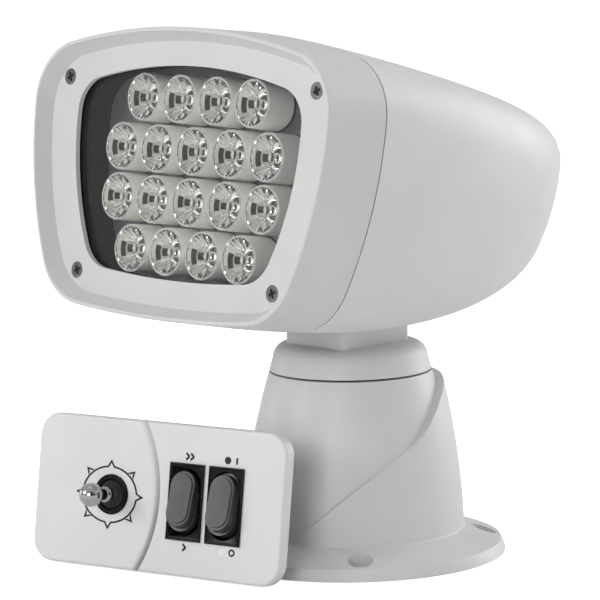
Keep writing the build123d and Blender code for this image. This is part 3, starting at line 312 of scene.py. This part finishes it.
# moulded plastic: faint clouding in the colour, uneven gloss, fine skin
mouldedLook = {"clouds": (26, 4), "gloss": (70, 5), "skinDetail": 3, "skin": 0.8, "coatRough": 0.12}


def mouldedPlastic(name, dark, light, roughLow, roughHigh, grain, depth, coat=0.0):
    mat, bsdf, links = newFinish(name, light, roughHigh)
    links.new(tint(mat, noise(mat, *mouldedLook["clouds"]), dark, light), bsdf.inputs["Base Color"])
    links.new(spread(mat, noise(mat, *mouldedLook["gloss"]), roughLow, roughHigh), bsdf.inputs["Roughness"])
    if depth:
        skin = noise(mat, grain, mouldedLook["skinDetail"])
        links.new(raised(mat, skin, depth, mouldedLook["skin"]), bsdf.inputs["Normal"])
    if coat:
        bsdf.inputs["Coat Weight"].default_value = coat
        bsdf.inputs["Coat Roughness"].default_value = mouldedLook["coatRough"]
    return mat


# turned or milled metal: fine marks drawn out along one way
machinedLook = {"clouds": (60, 3), "marks": (900, 4, 0.6), "cut": 0.5}


def machinedMetal(name, dark, light, roughLow, roughHigh, stretch, depth):
    mat, bsdf, links = newFinish(name, light, roughHigh, 1.0)
    cuts = noise(mat, *machinedLook["marks"], stretch)
    links.new(tint(mat, noise(mat, *machinedLook["clouds"]), dark, light), bsdf.inputs["Base Color"])
    links.new(spread(mat, cuts, roughLow, roughHigh), bsdf.inputs["Roughness"])
    links.new(raised(mat, cuts, depth, machinedLook["cut"]), bsdf.inputs["Normal"])
    return mat


# glass and clear plastic: a trace of colour and of haze
clearLook = {"darker": 0.985, "clouds": (40, 3), "haze": (120, 4), "hazeMost": 0.015}


def clearFinish(name, colour, rough, ior):
    mat, bsdf, links = newFinish(name, colour, rough)
    bsdf.inputs["Transmission Weight"].default_value = 1.0
    bsdf.inputs["IOR"].default_value = ior
    deeper = tuple(part * clearLook["darker"] for part in colour)
    links.new(tint(mat, noise(mat, *clearLook["clouds"]), deeper, colour), bsdf.inputs["Base Color"])
    haze = spread(mat, noise(mat, *clearLook["haze"]), rough, rough + clearLook["hazeMost"])
    links.new(haze, bsdf.inputs["Roughness"])
    return mat


def letsLightIn(mat):
    # the light through the pane lands behind it without bending
    tree = mat.node_tree
    out = tree.nodes["Material Output"]
    path = tree.nodes.new("ShaderNodeLightPath")
    clear = tree.nodes.new("ShaderNodeBsdfTransparent")
    either = tree.nodes.new("ShaderNodeMixShader")
    tree.links.new(path.outputs["Is Shadow Ray"], either.inputs["Fac"])
    tree.links.new(tree.nodes["Principled BSDF"].outputs["BSDF"], either.inputs[1])
    tree.links.new(clear.outputs["BSDF"], either.inputs[2])
    tree.links.new(either.outputs["Shader"], out.inputs["Surface"])


# dark and light of the colour, roughness from and to, grain and depth of the skin, coat if any
plastics = {
    "housingWhite": ((0.665, 0.66, 0.65), (0.70, 0.695, 0.685), 0.42, 0.5, 900, 0, 0.04),
    # the bezel's white is a darker copy of the shell's white: painted shade on the head's front
    "bezelWhite": ((0.615, 0.611, 0.603), (0.645, 0.641, 0.633), 0.42, 0.5, 900, 0, 0.04),
    "panelWhite": ((0.72, 0.72, 0.718), (0.75, 0.75, 0.748), 0.34, 0.42, 1400, 0.000006),
    # painted shade for the slope of the panel's groove
    "panelGroove": ((0.42, 0.42, 0.42), (0.48, 0.48, 0.48), 0.34, 0.42, 1400, 0.000006),
    "mouldedBlack": ((0.004, 0.004, 0.004), (0.007, 0.007, 0.0072), 0.2, 0.3, 1500, 0.000015),
    "shroudBlack": ((0.008, 0.008, 0.008), (0.014, 0.014, 0.014), 0.75, 0.9, 1200, 0.00001),
    "rockerBlack": ((0.026, 0.026, 0.027), (0.038, 0.038, 0.039), 0.32, 0.44, 2600, 0.000015),
    "rockerPadGrey": ((0.055, 0.055, 0.056), (0.08, 0.08, 0.081), 0.42, 0.52, 2600, 0.00002),
    "domeRubber": ((0.014, 0.014, 0.0145), (0.022, 0.022, 0.0225), 0.4, 0.52, 2200, 0.00002),
    "sealRubber": ((0.014, 0.014, 0.014), (0.024, 0.024, 0.024), 0.7, 0.85, 1800, 0.00002),
    "barrelPlastic": ((0.87, 0.86, 0.82), (0.91, 0.90, 0.86), 0.35, 0.5, 1100, 0.00001),
    "boardMask": ((0.085, 0.085, 0.089), (0.105, 0.105, 0.11), 0.5, 0.6, 1600, 0.000006),
    "circuitGreen": ((0.01, 0.09, 0.04), (0.02, 0.13, 0.06), 0.35, 0.5, 1400, 0.00001),
    "naturalAcetal": ((0.70, 0.69, 0.65), (0.76, 0.75, 0.71), 0.4, 0.5, 1000, 0.00001),
    "ledPackage": ((0.02, 0.02, 0.018), (0.035, 0.035, 0.03), 0.5, 0.6, 2500, 0.00001),
    "printInk": ((0.003, 0.003, 0.003), (0.006, 0.006, 0.006), 0.5, 0.6, 3000, 0.000004),
    "palePrintInk": ((0.80, 0.80, 0.80), (0.84, 0.84, 0.84), 0.45, 0.55, 3000, 0.000004),
    # painted shade in the screws' cross recesses
    "screwRecess": ((0.01, 0.01, 0.01), (0.02, 0.02, 0.02), 0.6, 0.75, 3000, 0.00001),
    # painted highlight on the clear optic's lip
    "opticRim": ((0.50, 0.50, 0.48), (0.60, 0.60, 0.58), 0.16, 0.3, 3000, 0.000006),
    # painted shade on the barrels' front lip, a grey copy of the barrel plastic
    "barrelLip": ((0.34, 0.335, 0.32), (0.40, 0.395, 0.38), 0.4, 0.5, 1100, 0.00001),
    # painted dark reflection on the left of each optic's cone
    "dimmedWall": ((0.012, 0.012, 0.011), (0.03, 0.03, 0.028), 0.5, 0.6, 2200, 0.00001),
    "barrelSeat": ((0.80, 0.79, 0.76), (0.86, 0.85, 0.82), 0.5, 0.6, 2200, 0.00001),
}
# dark and light of the colour, roughness from and to, how the marks are drawn out, their depth
metals = {
    "screwSteel": ((0.16, 0.16, 0.165), (0.24, 0.24, 0.245), 0.28, 0.42, (1, 1, 1), 0.000006),
    "machinedAluminium": ((0.52, 0.52, 0.53), (0.62, 0.62, 0.63), 0.3, 0.45, (1, 1, 14), 0.000006),
    "turnedSteel": ((0.30, 0.30, 0.31), (0.42, 0.42, 0.43), 0.25, 0.4, (1, 12, 1), 0.000005),
    "tinnedBrass": ((0.52, 0.42, 0.20), (0.62, 0.52, 0.28), 0.25, 0.4, (1, 8, 1), 0.000004),
    "polishedChrome": ((0.44, 0.45, 0.46), (0.50, 0.51, 0.52), 0.03, 0.06, (1, 1, 1), 0.0000008),
}
# colour, haze and refraction
clears = {
    "windowGlass": ((0.97, 0.985, 0.98), 0.0, 1.45),
    "clearOptic": ((0.985, 0.98, 0.965), 0.0, 1.49),
}
lessShine = {"shroudBlack": 0.15, "mouldedBlack": 0.2, "domeRubber": 0.3}

finishes = {}
for makeFinish, looks in ((mouldedPlastic, plastics), (machinedMetal, metals), (clearFinish, clears)):
    for name, look in looks.items():
        finishes[name] = makeFinish(name, *look)
for name, level in lessShine.items():
    finishes[name].node_tree.nodes["Principled BSDF"].inputs["Specular IOR Level"].default_value = level
for name in clears:
    letsLightIn(finishes[name])
print("finishes ready")

# every solid gets the finish of its slot in the record, and a few get one of their own
slotFinish = {
    "shell_white": "housingWhite", "panel_white": "panelWhite", "rubber_black": "sealRubber",
    "plastic_black": "mouldedBlack", "rocker_black": "rockerBlack", "holder_grey": "barrelPlastic",
    "glass_clear": "windowGlass", "lens_clear": "clearOptic", "led_yellow": "ledPackage",
    "board_white": "boardMask", "board_green": "circuitGreen", "aluminium": "machinedAluminium",
    "steel": "turnedSteel", "knob_chrome": "polishedChrome", "gear_acetal": "naturalAcetal",
    "terminal_brass": "tinnedBrass",
}
# the bezel gets the darker copy of the shell's white, as painted shade
ownFinish = {"light_shroud": "shroudBlack", "joystick_dome": "domeRubber", "bezel_screws": "screwSteel",
             "bezel": "bezelWhite"}
slotOf = {part["node"]: part["material_slot"] for part in frame["record"]["subparts"]}
finishOf = {nodeName: finishes[ownFinish.get(nodeName, slotFinish[slotOf[nodeName]])] for nodeName in nodes}
for nodeName, node in nodes.items():
    node.data.materials.clear()
    node.data.materials.append(finishOf[nodeName])

# housings and other pieces whose solids have the right shape:
# solid, name, carrier, degrees that make an edge sharp, reach of the even shading
skins = [
    ("pedestal_shell", "pedestalShell", "base", 24, 0.006),
    ("base_gasket", "baseGasket", "base", 24, 0),
    ("turret_housing", "turretHousing", "turret", 24, 0.004),
    ("pan_seal", "panSeal", "base", 24, 0),
    ("bezel", "frontBezel", "head", 24, 0.006),
    ("rear_shell", "rearShell", "head", 30, 0.010),
    ("window_glass", "windowGlass", "head", 24, 0.006),
    ("window_gasket", "windowGasket", "head", 24, 0),
    ("housing_seal", "housingSeal", "head", 24, 0),
    ("light_shroud", "lightShroud", "head", 24, 0.006),
    ("lens_holders", "lensBarrels", "head", 24, 0),
    ("holder_rings", "barrelRings", "head", 24, 0),
    ("bezel_screws", "bezelScrews", "head", 24, 0),
    ("panel_plate", "panelPlate", "base", 11, 0.005),
    ("switch_speed", "speedSwitchBody", "base", 24, 0),
    ("switch_power", "powerSwitchBody", "base", 24, 0),
    ("rocker_speed", "speedRocker", "rocker_speed", 24, 0.0015),
    ("rocker_power", "powerRocker", "rocker_power", 24, 0.0015),
    ("joystick_ring", "joystickRing", "base", 24, 0),
    ("joystick_dome", "joystickDome", "joystick_lever", 24, 0.002),
    ("joystick_housing", "joystickHousing", "base", 24, 0),
    ("cable_gland", "cableGland", "base", 24, 0),
]
skinOf = {}
for nodeName, name, body, angle, reach in skins:
    skinOf[nodeName] = smoothed(nodeName, name, body, finishOf[nodeName], slotOf[nodeName], angle, reach)
print("housings smoothed")

# switch housings: the moulded edges are rounded and catch the light
softEdge = {"width": 0.00035, "segments": 2, "over": 50, "flat": 1, "sharp": 40}
for nodeName in ("switch_speed", "switch_power"):
    housing = skinOf[nodeName]
    editMode(housing)
    bpy.ops.mesh.select_all(action="SELECT")
    bpy.ops.mesh.dissolve_limited(angle_limit=math.radians(softEdge["flat"]))
    objectMode()
    soft = housing.modifiers.new("softEdge", "BEVEL")
    soft.width = softEdge["width"]
    soft.segments = softEdge["segments"]
    soft.angle_limit = math.radians(softEdge["over"])
    applyAll(housing)
    bpy.ops.object.shade_smooth_by_angle(angle=math.radians(softEdge["sharp"]))

# rockers: the raised pad is the greyer, drier plastic
rocker = {"across": {"rocker_speed": 0.0167, "rocker_power": 0.0389}, "up": 0.0355, "pin": -0.004,
          "tilt": 11, "padFoot": 0.0093}  # the pad begins this far above the pin
rockerTilt = math.radians(rocker["tilt"])
rockerNormal = panelOut * math.cos(rockerTilt) + panelUp * math.sin(rockerTilt)
for nodeName, across in rocker["across"].items():
    pin = panelSpot @ Vector((across, rocker["up"], rocker["pin"]))
    secondFinish(skinOf[nodeName], finishes["rockerPadGrey"],
                 lambda middle, normal: (middle - pin).dot(rockerNormal) > rocker["padFoot"])
print("switches finished")

# groove of the panel: an arc whose slope gets painted shade, darker towards the wall, most at the panel's
# foot
groove = {
    "right": 0.0012, "bulge": 0.0102, "slope": 0.0034, "wall": 0.0005, "panelHigh": 0.0723,
    "shades": ((0.0, 0.73), (0.24, 0.66), (0.44, 0.40), (0.74, 0.26), (0.92, 0.14), (1.0, 0.4)),
    "face": 0.73, "deepAt": 0.028, "faintAt": 0.066, "faint": 0.4,  # heights above the floor
    "flat": 0.995, "upright": 0.1, "rise": 0.001, "slack": 0.0002,
}
grooveRadius = (groove["panelHigh"] ** 2 / 4 + groove["bulge"] ** 2) / (2 * groove["bulge"])
grooveCentre = panelSpot @ Vector((groove["right"] - grooveRadius, groove["panelHigh"] / 2, 0))


def shadeGroove(mat):
    add = mat.node_tree.nodes.new
    link = mat.node_tree.links.new
    place = add("ShaderNodeTexCoord")
    # painted shade by the distance from the arc's middle
    fromMiddle = add("ShaderNodeVectorMath")
    fromMiddle.operation = "DISTANCE"
    fromMiddle.inputs[1].default_value = grooveCentre
    down = add("ShaderNodeMapRange")
    down.inputs["From Min"].default_value = grooveRadius - groove["slope"]
    down.inputs["From Max"].default_value = grooveRadius + groove["wall"]
    shade = add("ShaderNodeValToRGB")
    stops = shade.color_ramp.elements
    for where, level in groove["shades"][1:-1]:
        stops.new(where)
    for stop, (where, level) in zip(stops, groove["shades"]):
        stop.position = where
        stop.color = (level, level, level, 1)
    # and the painted shade fainter towards the top
    height = add("ShaderNodeSeparateXYZ")
    fade = add("ShaderNodeMapRange")
    fade.inputs["From Min"].default_value = groove["deepAt"]
    fade.inputs["From Max"].default_value = groove["faintAt"]
    fade.inputs["To Min"].default_value = 1
    fade.inputs["To Max"].default_value = groove["faint"]
    mix = add("ShaderNodeMix")
    mix.data_type = "RGBA"
    mix.inputs["A"].default_value = (groove["face"], groove["face"], groove["face"], 1)
    link(place.outputs["Object"], fromMiddle.inputs[0])
    link(fromMiddle.outputs["Value"], down.inputs["Value"])
    link(down.outputs["Result"], shade.inputs["Fac"])
    link(place.outputs["Object"], height.inputs["Vector"])
    link(height.outputs["Z"], fade.inputs["Value"])
    link(fade.outputs["Result"], mix.inputs["Factor"])
    link(shade.outputs["Color"], mix.inputs["B"])
    link(mix.outputs["Result"], mat.node_tree.nodes["Principled BSDF"].inputs["Base Color"])


def inGroove(middle, normal):
    least = grooveRadius - groove["slope"] - groove["slack"]
    most = grooveRadius + groove["wall"] + groove["slack"]
    return (groove["upright"] < normal.dot(panelOut) < groove["flat"]
            and (panelSpot.inverted() @ middle).z > -groove["rise"]
            and least < (middle - grooveCentre).length < most)


# paints the shade into the groove's slope
shadeGroove(finishes["panelGroove"])
secondFinish(skinOf["panel_plate"], finishes["panelGroove"], inGroove)
print("groove shaded")

# joystick lever: one skin from the chrome ball down the waisted neck to the foot
lever = {
    "at": (-0.0263, 0.0354), "ball": 0.0058, "height": 0.0170, "around": 48, "rings": 32, "neckRing": 6,
    "neck": ((0.0005, 0.93), (0.0008, 0.93), (0.0016, 0.97), (0.0022, 1.0), (0.0006, 1.05), (0.0003, 1.22),
             (0.0003, 1.08), (0.0013, 1.0), (0.0003, 0.94), (0.0003, 0.72), (0.0014, 0.98)),
    "root": 0.0052, "sharp": 60,
}
bpy.ops.object.select_all(action="DESELECT")
bpy.ops.mesh.primitive_uv_sphere_add(segments=lever["around"], ring_count=lever["rings"],
                                     radius=lever["ball"], location=(0, 0, lever["height"]))
chromeLever = placeApplied()
neckTop = lever["height"] - lever["ball"] * math.cos(math.pi * lever["neckRing"] / lever["rings"])
chooseFaces(chromeLever, lambda middle, normal: middle.z < neckTop)
bpy.ops.mesh.delete(type="FACE")
choosePoints(chromeLever, lambda at: abs(at.z - neckTop) < touch)
bpy.ops.mesh.select_mode(type="EDGE")
for move, size in lever["neck"]:
    grow(-move, size)
grow(-lever["root"], 1.0)
bpy.ops.mesh.edge_face_add()
objectMode()
cleanUp(chromeLever, lever["sharp"])
settle(chromeLever, panelSpot @ Matrix.Translation((*lever["at"], 0)))
chrome = finishes["polishedChrome"]
hand(chromeLever, "chromeLever", "joystick_lever", chrome, "knob_chrome", "joystick_lever")
print("chrome lever made")

# screws of the bezel: the cross recess is painted dark, as painted shade
recess = {"depth": 0.0004, "steep": 0.6, "headHigh": 0.003}
screwTop = max(point.co.dot(headForward) for point in skinOf["bezel_screws"].data.vertices)


def inRecess(middle, normal):
    forward = middle.dot(headForward)
    return forward > screwTop - recess["headHigh"] and (
        normal.dot(headForward) < recess["steep"] or forward < screwTop - recess["depth"])


secondFinish(skinOf["bezel_screws"], finishes["screwRecess"], inRecess)

# barrels: the lip in front is painted grey, as painted shade, and the seat round each light is pale
barrel = {"lip": (0, 0.003), "seat": (0.015, 0.0004)}  # how deep behind the optics' faces, give or take
gridHeight = headSpot.translation.dot(headForward)
for finishName, (depth, slack) in (("barrelLip", barrel["lip"]), ("barrelSeat", barrel["seat"])):
    secondFinish(skinOf["lens_holders"], finishes[finishName], lambda middle, normal: (
        abs(middle.dot(headForward) - gridHeight + depth) < slack and normal.dot(headForward) > facing))
print("screws and barrels finished")

# optic: clear cone with a faceted skin, a thin lip with a painted highlight, a painted dark reflection on
# the cone's left, and a hollow in its face
optic = {
    "radius": 0.0105, "facets": 30, "edge": 0.0016, "lip": 0.0002,
    "throatRadius": 0.0034, "throatDepth": 0.0042, "throatTaper": 0.86,
    "crown": 0.0014, "crownSteps": (0.7, 0.5), "crownInset": 0.28,
    "cone": ((-0.0030, 0.90), (-0.0035, 0.83), (-0.0033, 0.78), (-0.0030, 0.76)),
    "ledRadius": 0.0026, "ledDepth": 0.0029, "ledTaper": 0.9, "sharp": 8,
}
# the painted dark reflection: how deep behind the face, how many degrees wide, how far clear of the axis
paintedReflectionPatch = {"from": 0.0047, "to": 0.0080, "wide": 24, "clear": 0.003}  # on the left of the cone
# where the painted highlight lies along the optic's front edge
rimHighlightArea = {"deep": optic["lip"] * 0.7, "wide": optic["lip"] * 1.2, "slant": 0.3}
# rows of the lens field: places in row pitches from the middle, and the optics in each
lensField = {"pitch": 0.02472, "rowPitch": 0.02382, "rows": ((1.5, 4), (-1.5, 4), (0.5, 5), (-0.5, 5))}


def modelOptic():
    bpy.ops.object.select_all(action="DESELECT")
    bpy.ops.mesh.primitive_cylinder_add(vertices=optic["facets"], radius=optic["radius"],
                                        depth=optic["edge"], location=(0, 0, -optic["edge"] / 2))
    thing = placeApplied()
    # the face: lip, throat and its crowned floor
    chooseFaces(thing, lambda middle, normal: normal.z > facing)
    bpy.ops.mesh.inset(thickness=optic["lip"], depth=0)
    bpy.ops.transform.translate(value=(0, 0, -optic["lip"] / 2))
    bpy.ops.mesh.inset(thickness=optic["radius"] - optic["lip"] - optic["throatRadius"], depth=0)
    grow(-optic["throatDepth"], optic["throatTaper"])
    floorRadius = optic["throatRadius"] * optic["throatTaper"]
    for share in optic["crownSteps"]:
        bpy.ops.mesh.inset(thickness=floorRadius * optic["crownInset"], depth=0)
        bpy.ops.transform.translate(value=(0, 0, optic["crown"] * share))
    # the cone down to the light, and the hollow that the light stands in
    chooseFaces(thing, lambda middle, normal: normal.z < -facing)
    for move, size in optic["cone"]:
        grow(move, size)
    foot = optic["radius"] * math.prod(size for move, size in optic["cone"])
    bpy.ops.mesh.inset(thickness=foot - optic["ledRadius"], depth=0)
    grow(optic["ledDepth"], optic["ledTaper"])
    objectMode()
    cleanUp(thing, optic["sharp"])
    return thing


def inOptic(middle, centre):
    # how far forward of the optic's face, how far from its axis and how many degrees from its left
    gap = middle - centre
    forward = gap.dot(headForward)
    away = gap - headForward * forward
    return forward, away.length, abs(math.degrees(away.angle(-headRight, 0)))


def finishOptic(piece, centre):
    def onPaintedReflection(middle, normal):
        forward, off, turned = inOptic(middle, centre)
        return (-paintedReflectionPatch["to"] < forward < -paintedReflectionPatch["from"]
                and off > paintedReflectionPatch["clear"] and turned < paintedReflectionPatch["wide"])

    def onPaintedHighlight(middle, normal):
        forward, off, turned = inOptic(middle, centre)
        return (forward > -rimHighlightArea["deep"] and off > optic["radius"] - rimHighlightArea["wide"]
                and normal.dot(headForward) > rimHighlightArea["slant"])

    # paints the dark reflection onto the cone's left
    secondFinish(piece, finishes["dimmedWall"], onPaintedReflection)
    # paints the highlight along the optic's lip
    secondFinish(piece, finishes["opticRim"], onPaintedHighlight)


benchOptic = modelOptic()
lensSpots = [((place - (count - 1) / 2) * lensField["pitch"], row * lensField["rowPitch"])
             for row, count in lensField["rows"] for place in range(count)]
for number, (across, up) in enumerate(lensSpots, 1):
    piece = twinOf(benchOptic)
    settle(piece, headSpot @ Matrix.Translation((across, up, 0)))
    hand(piece, f"opticLens{number:02d}", "head", finishes["clearOptic"], "lens_clear", "lenses")
    finishOptic(piece, headSpot @ Vector((across, up, 0)))
bpy.data.objects.remove(benchOptic)
print("optics set in")

# print on the panel: ring with four points, four small open corners, symbols at the switches
inkRise = 0.00004
inkSharp = 30
ringPrint = {
    "radius": 0.0139, "points": 96, "tip": 0.0170, "shoulder": 1.5, "onPoint": 0.00001, "line": 0.00088,
    "cornerTip": 0.0174, "corner": 0.0044, "open": 0.1, "wider": 1.165, "offset": (-0.00115, -0.0002),
}
marks = {
    "high": 0.0572, "low": 0.0140, "dot": 0.0018, "corners": 32, "hollow": 0.8,
    "tall": 0.0031, "stroke": 0.0011, "gap": 0.0026, "turn": 42, "arrowStroke": 0.8,
    "speed": 0.0175, "onDot": 0.0389, "onMark": 0.0440, "offDot": 0.0388, "offMark": 0.0444,
}


def inkPlate(thing):
    # gives a flat outline its thin layer of ink
    editMode(thing)
    bpy.ops.mesh.select_all(action="SELECT")
    bpy.ops.mesh.extrude_region_move(TRANSFORM_OT_translate={"value": (0, 0, inkRise)})
    objectMode()
    cleanUp(thing, inkSharp)


def flatDisc(corners, radius, where):
    bpy.ops.object.select_all(action="DESELECT")
    bpy.ops.mesh.primitive_circle_add(vertices=corners, radius=radius, fill_type="NGON",
                                      location=(*where, 0))
    return placeApplied()


def onlyOutline(thing, line):
    # keeps a line along the edge of a flat shape
    chooseFaces(thing, lambda middle, normal: True)
    bpy.ops.mesh.inset(thickness=line, depth=0)
    bpy.ops.mesh.delete(type="FACE")
    objectMode()


def printRing():
    # each quarter's point is drawn out of the round line, with a straight shoulder on both sides
    ring = flatDisc(ringPrint["points"], ringPrint["radius"], (0, 0))
    shoulder = ringPrint["radius"] * 2 * math.pi / ringPrint["points"] * ringPrint["shoulder"]
    for quarter in range(4):
        heading = Vector((math.cos(quarter * math.pi / 2), math.sin(quarter * math.pi / 2), 0))
        top = heading * ringPrint["radius"]
        choosePoints(ring, lambda at: touch < (at - top).length < shoulder)
        bpy.ops.mesh.dissolve_verts()
        choosePoints(ring, lambda at: (at - top).length < ringPrint["onPoint"])
        bpy.ops.transform.translate(value=heading * (ringPrint["tip"] - ringPrint["radius"]))
    objectMode()
    onlyOutline(ring, ringPrint["line"])
    inkPlate(ring)
    return ring


def printCorner(turn):
    # two strokes that meet in a point; the side towards the ring is open
    size = ringPrint["corner"] / math.sqrt(3)
    away = ringPrint["cornerTip"] - size
    corner = flatDisc(3, size, (0, 0))
    onlyOutline(corner, ringPrint["line"])
    chooseFaces(corner, lambda middle, normal: middle.y < -size * ringPrint["open"])
    bpy.ops.mesh.delete(type="FACE")
    objectMode()
    inkPlate(corner)
    settle(corner, Matrix.Rotation(turn, 4, "Z") @ Matrix.Translation((0, away, 0)))
    return corner


def printStroke(length, where, turn):
    # one straight stroke with square ends
    bpy.ops.object.select_all(action="DESELECT")
    bpy.ops.mesh.primitive_plane_add(size=1, location=(0, 0, 0))
    stroke = bpy.context.object
    editMode(stroke)
    bpy.ops.mesh.select_all(action="SELECT")
    bpy.ops.transform.resize(value=(length, marks["stroke"], 1))
    objectMode()
    inkPlate(stroke)
    settle(stroke, Matrix.Translation((*where, 0)) @ Matrix.Rotation(turn, 4, "Z"))
    return stroke


def joined(*things):
    pick(*things)
    bpy.ops.object.join()
    return bpy.context.view_layer.objects.active


def chevrons(count, across, up):
    # arrow strokes for the speed switch: two for fast, one for slow
    strokes = []
    for place in range(count):
        at = across + (place - (count - 1) / 2) * marks["gap"]
        for side in (1, -1):
            middle = (at, up + side * marks["tall"] / 4)
            turn = -side * math.radians(marks["turn"])
            strokes.append(printStroke(marks["tall"] * marks["arrowStroke"], middle, turn))
    return joined(*strokes)


def printDot(where, hollow):
    dot = flatDisc(marks["corners"], marks["dot"], where)
    if hollow:
        onlyOutline(dot, marks["stroke"] * marks["hollow"])
    inkPlate(dot)
    return dot


stickRing = joined(printRing(), *(printCorner(math.radians(45 + 90 * quarter)) for quarter in range(4)))
ringAt = [place + offset for place, offset in zip(lever["at"], ringPrint["offset"])]
settle(stickRing, Matrix.Translation((*ringAt, 0)) @ Matrix.Diagonal((ringPrint["wider"], 1, 1, 1)))
prints = [
    ("ringPrint", stickRing, "printInk"),
    ("fastMark", chevrons(2, marks["speed"], marks["high"]), "printInk"),
    ("slowMark", chevrons(1, marks["speed"], marks["low"]), "printInk"),
    ("onDot", printDot((marks["onDot"], marks["high"]), False), "printInk"),
    ("onMark", printStroke(marks["tall"], (marks["onMark"], marks["high"]), math.radians(90)), "printInk"),
    ("offDot", printDot((marks["offDot"], marks["low"]), False), "palePrintInk"),
    ("offMark", printDot((marks["offMark"], marks["low"]), True), "printInk"),
]
for name, mark, finishName in prints:
    settle(mark, panelSpot)
    hand(mark, name, "base", finishes[finishName], "panel_white")
print("panel printed")

# floor: the paper looks evenly white to the camera, and lights the object only with what falls on it
paper = {"size": 60, "drop": 0.0002, "tone": 0.86, "rough": 0.9, "glow": 0.75}
bpy.ops.object.select_all(action="DESELECT")
bpy.ops.mesh.primitive_plane_add(size=paper["size"], location=(0, 0, -paper["drop"]))
floor = bpy.context.object
floor.name = "studioFloor"
floorMat, floorShader, floorLinks = newFinish("studioPaper", [paper["tone"]] * 3, paper["rough"])
floorShader.inputs["Emission Color"].default_value = (1, 1, 1, 1)
floorSeen = floorMat.node_tree.nodes.new("ShaderNodeLightPath")
floorGlow = floorMat.node_tree.nodes.new("ShaderNodeMath")
floorGlow.operation = "MULTIPLY"
floorGlow.inputs[1].default_value = paper["glow"]
floorLinks.new(floorSeen.outputs["Is Camera Ray"], floorGlow.inputs[0])
floorLinks.new(floorGlow.outputs["Value"], floorShader.inputs["Emission Strength"])
floor.data.materials.append(floorMat)

# room: bright above and at the sides, and darker behind the camera
room = {"strength": 0.53, "above": (1, 1, 1), "aboveFrom": 0.6, "below": (0.7, 0.7, 0.7),
        "behind": (0.1, 0.1, 0.1), "behindTowards": (0.80, -0.60, 0.10),
        "behindFrom": 0.72, "behindTo": 0.97}


def lightRoom():
    world = bpy.data.worlds.new("studioRoom")
    bpy.context.scene.world = world
    world.use_nodes = True
    add = world.node_tree.nodes.new
    link = world.node_tree.links.new
    background = world.node_tree.nodes["Background"]
    background.inputs["Strength"].default_value = room["strength"]
    heading = add("ShaderNodeTexCoord")
    # from the floor's light up to the ceiling's
    tall = add("ShaderNodeSeparateXYZ")
    shade = add("ShaderNodeValToRGB")
    steps = ((0.0, room["below"]), (room["aboveFrom"], room["above"]))
    for stop, (where, colour) in zip(shade.color_ramp.elements, steps):
        stop.position = where
        stop.color = (*colour, 1)
    # darker in the part behind the camera
    near = add("ShaderNodeVectorMath")
    near.operation = "DOT_PRODUCT"
    near.inputs[1].default_value = Vector(room["behindTowards"]).normalized()
    ramp = add("ShaderNodeMapRange")
    ramp.inputs["From Min"].default_value = room["behindFrom"]
    ramp.inputs["From Max"].default_value = room["behindTo"]
    darker = add("ShaderNodeMix")
    darker.data_type = "RGBA"
    darker.inputs["B"].default_value = (*room["behind"], 1)
    link(heading.outputs["Generated"], tall.inputs["Vector"])
    link(tall.outputs["Z"], shade.inputs["Fac"])
    link(heading.outputs["Generated"], near.inputs[0])
    link(near.outputs["Value"], ramp.inputs["Value"])
    link(ramp.outputs["Result"], darker.inputs["Factor"])
    link(shade.outputs["Color"], darker.inputs["A"])
    link(darker.outputs["Result"], background.inputs["Color"])


lightRoom()
lampAim = Vector((0, -0.03, 0.15))
lamps = {
    "leftLight": {"at": (-0.95, -2.25, 1.05), "size": 0.9, "power": 18},
    "frontLight": {"at": (0.9, -1.95, 0.5), "size": 0.8, "power": 9.5},
    "sideLight": {"at": (-2.25, -0.75, 0.3), "size": 0.6, "power": 2.8},
    "topLight": {"at": (-0.1, 0.3, 2.1), "size": 1.2, "power": 6},
    "highLight": {"at": (1.3, 0.9, 1.7), "size": 1.4, "power": 6},
    "rearLight": {"at": (0.5, 2.2, 0.6), "size": 1.6, "power": 24},
}
for name, lamp in lamps.items():
    bpy.ops.object.light_add(type="AREA", location=lamp["at"])
    light = bpy.context.object
    light.name = name
    light.data.size = lamp["size"]
    light.data.energy = lamp["power"]
    aim = lampAim - Vector(lamp["at"])
    light.rotation_euler = aim.to_track_quat("-Z", "Y").to_euler()

# camera: turned and tipped as the photo's, in degrees
cameraView = {"at": (1.0960, -1.0960, 0.3411), "turn": 45.89, "tip": 82.03, "roll": -1.00,
              "lens": 192.4, "sensor": 36}
bpy.ops.object.camera_add(location=cameraView["at"])
camera = bpy.context.object
camera.name = "photoCamera"
camera.data.sensor_width = cameraView["sensor"]
camera.data.lens = cameraView["lens"]
cameraTurn = (Matrix.Rotation(math.radians(cameraView["turn"]), 4, "Z")
              @ Matrix.Rotation(math.radians(cameraView["tip"]), 4, "X")
              @ Matrix.Rotation(math.radians(cameraView["roll"]), 4, "Z"))
camera.matrix_world = Matrix.Translation(cameraView["at"]) @ cameraTurn
bpy.context.scene.camera = camera
bpy.context.scene.view_settings.view_transform = "Standard"
print("room lit")
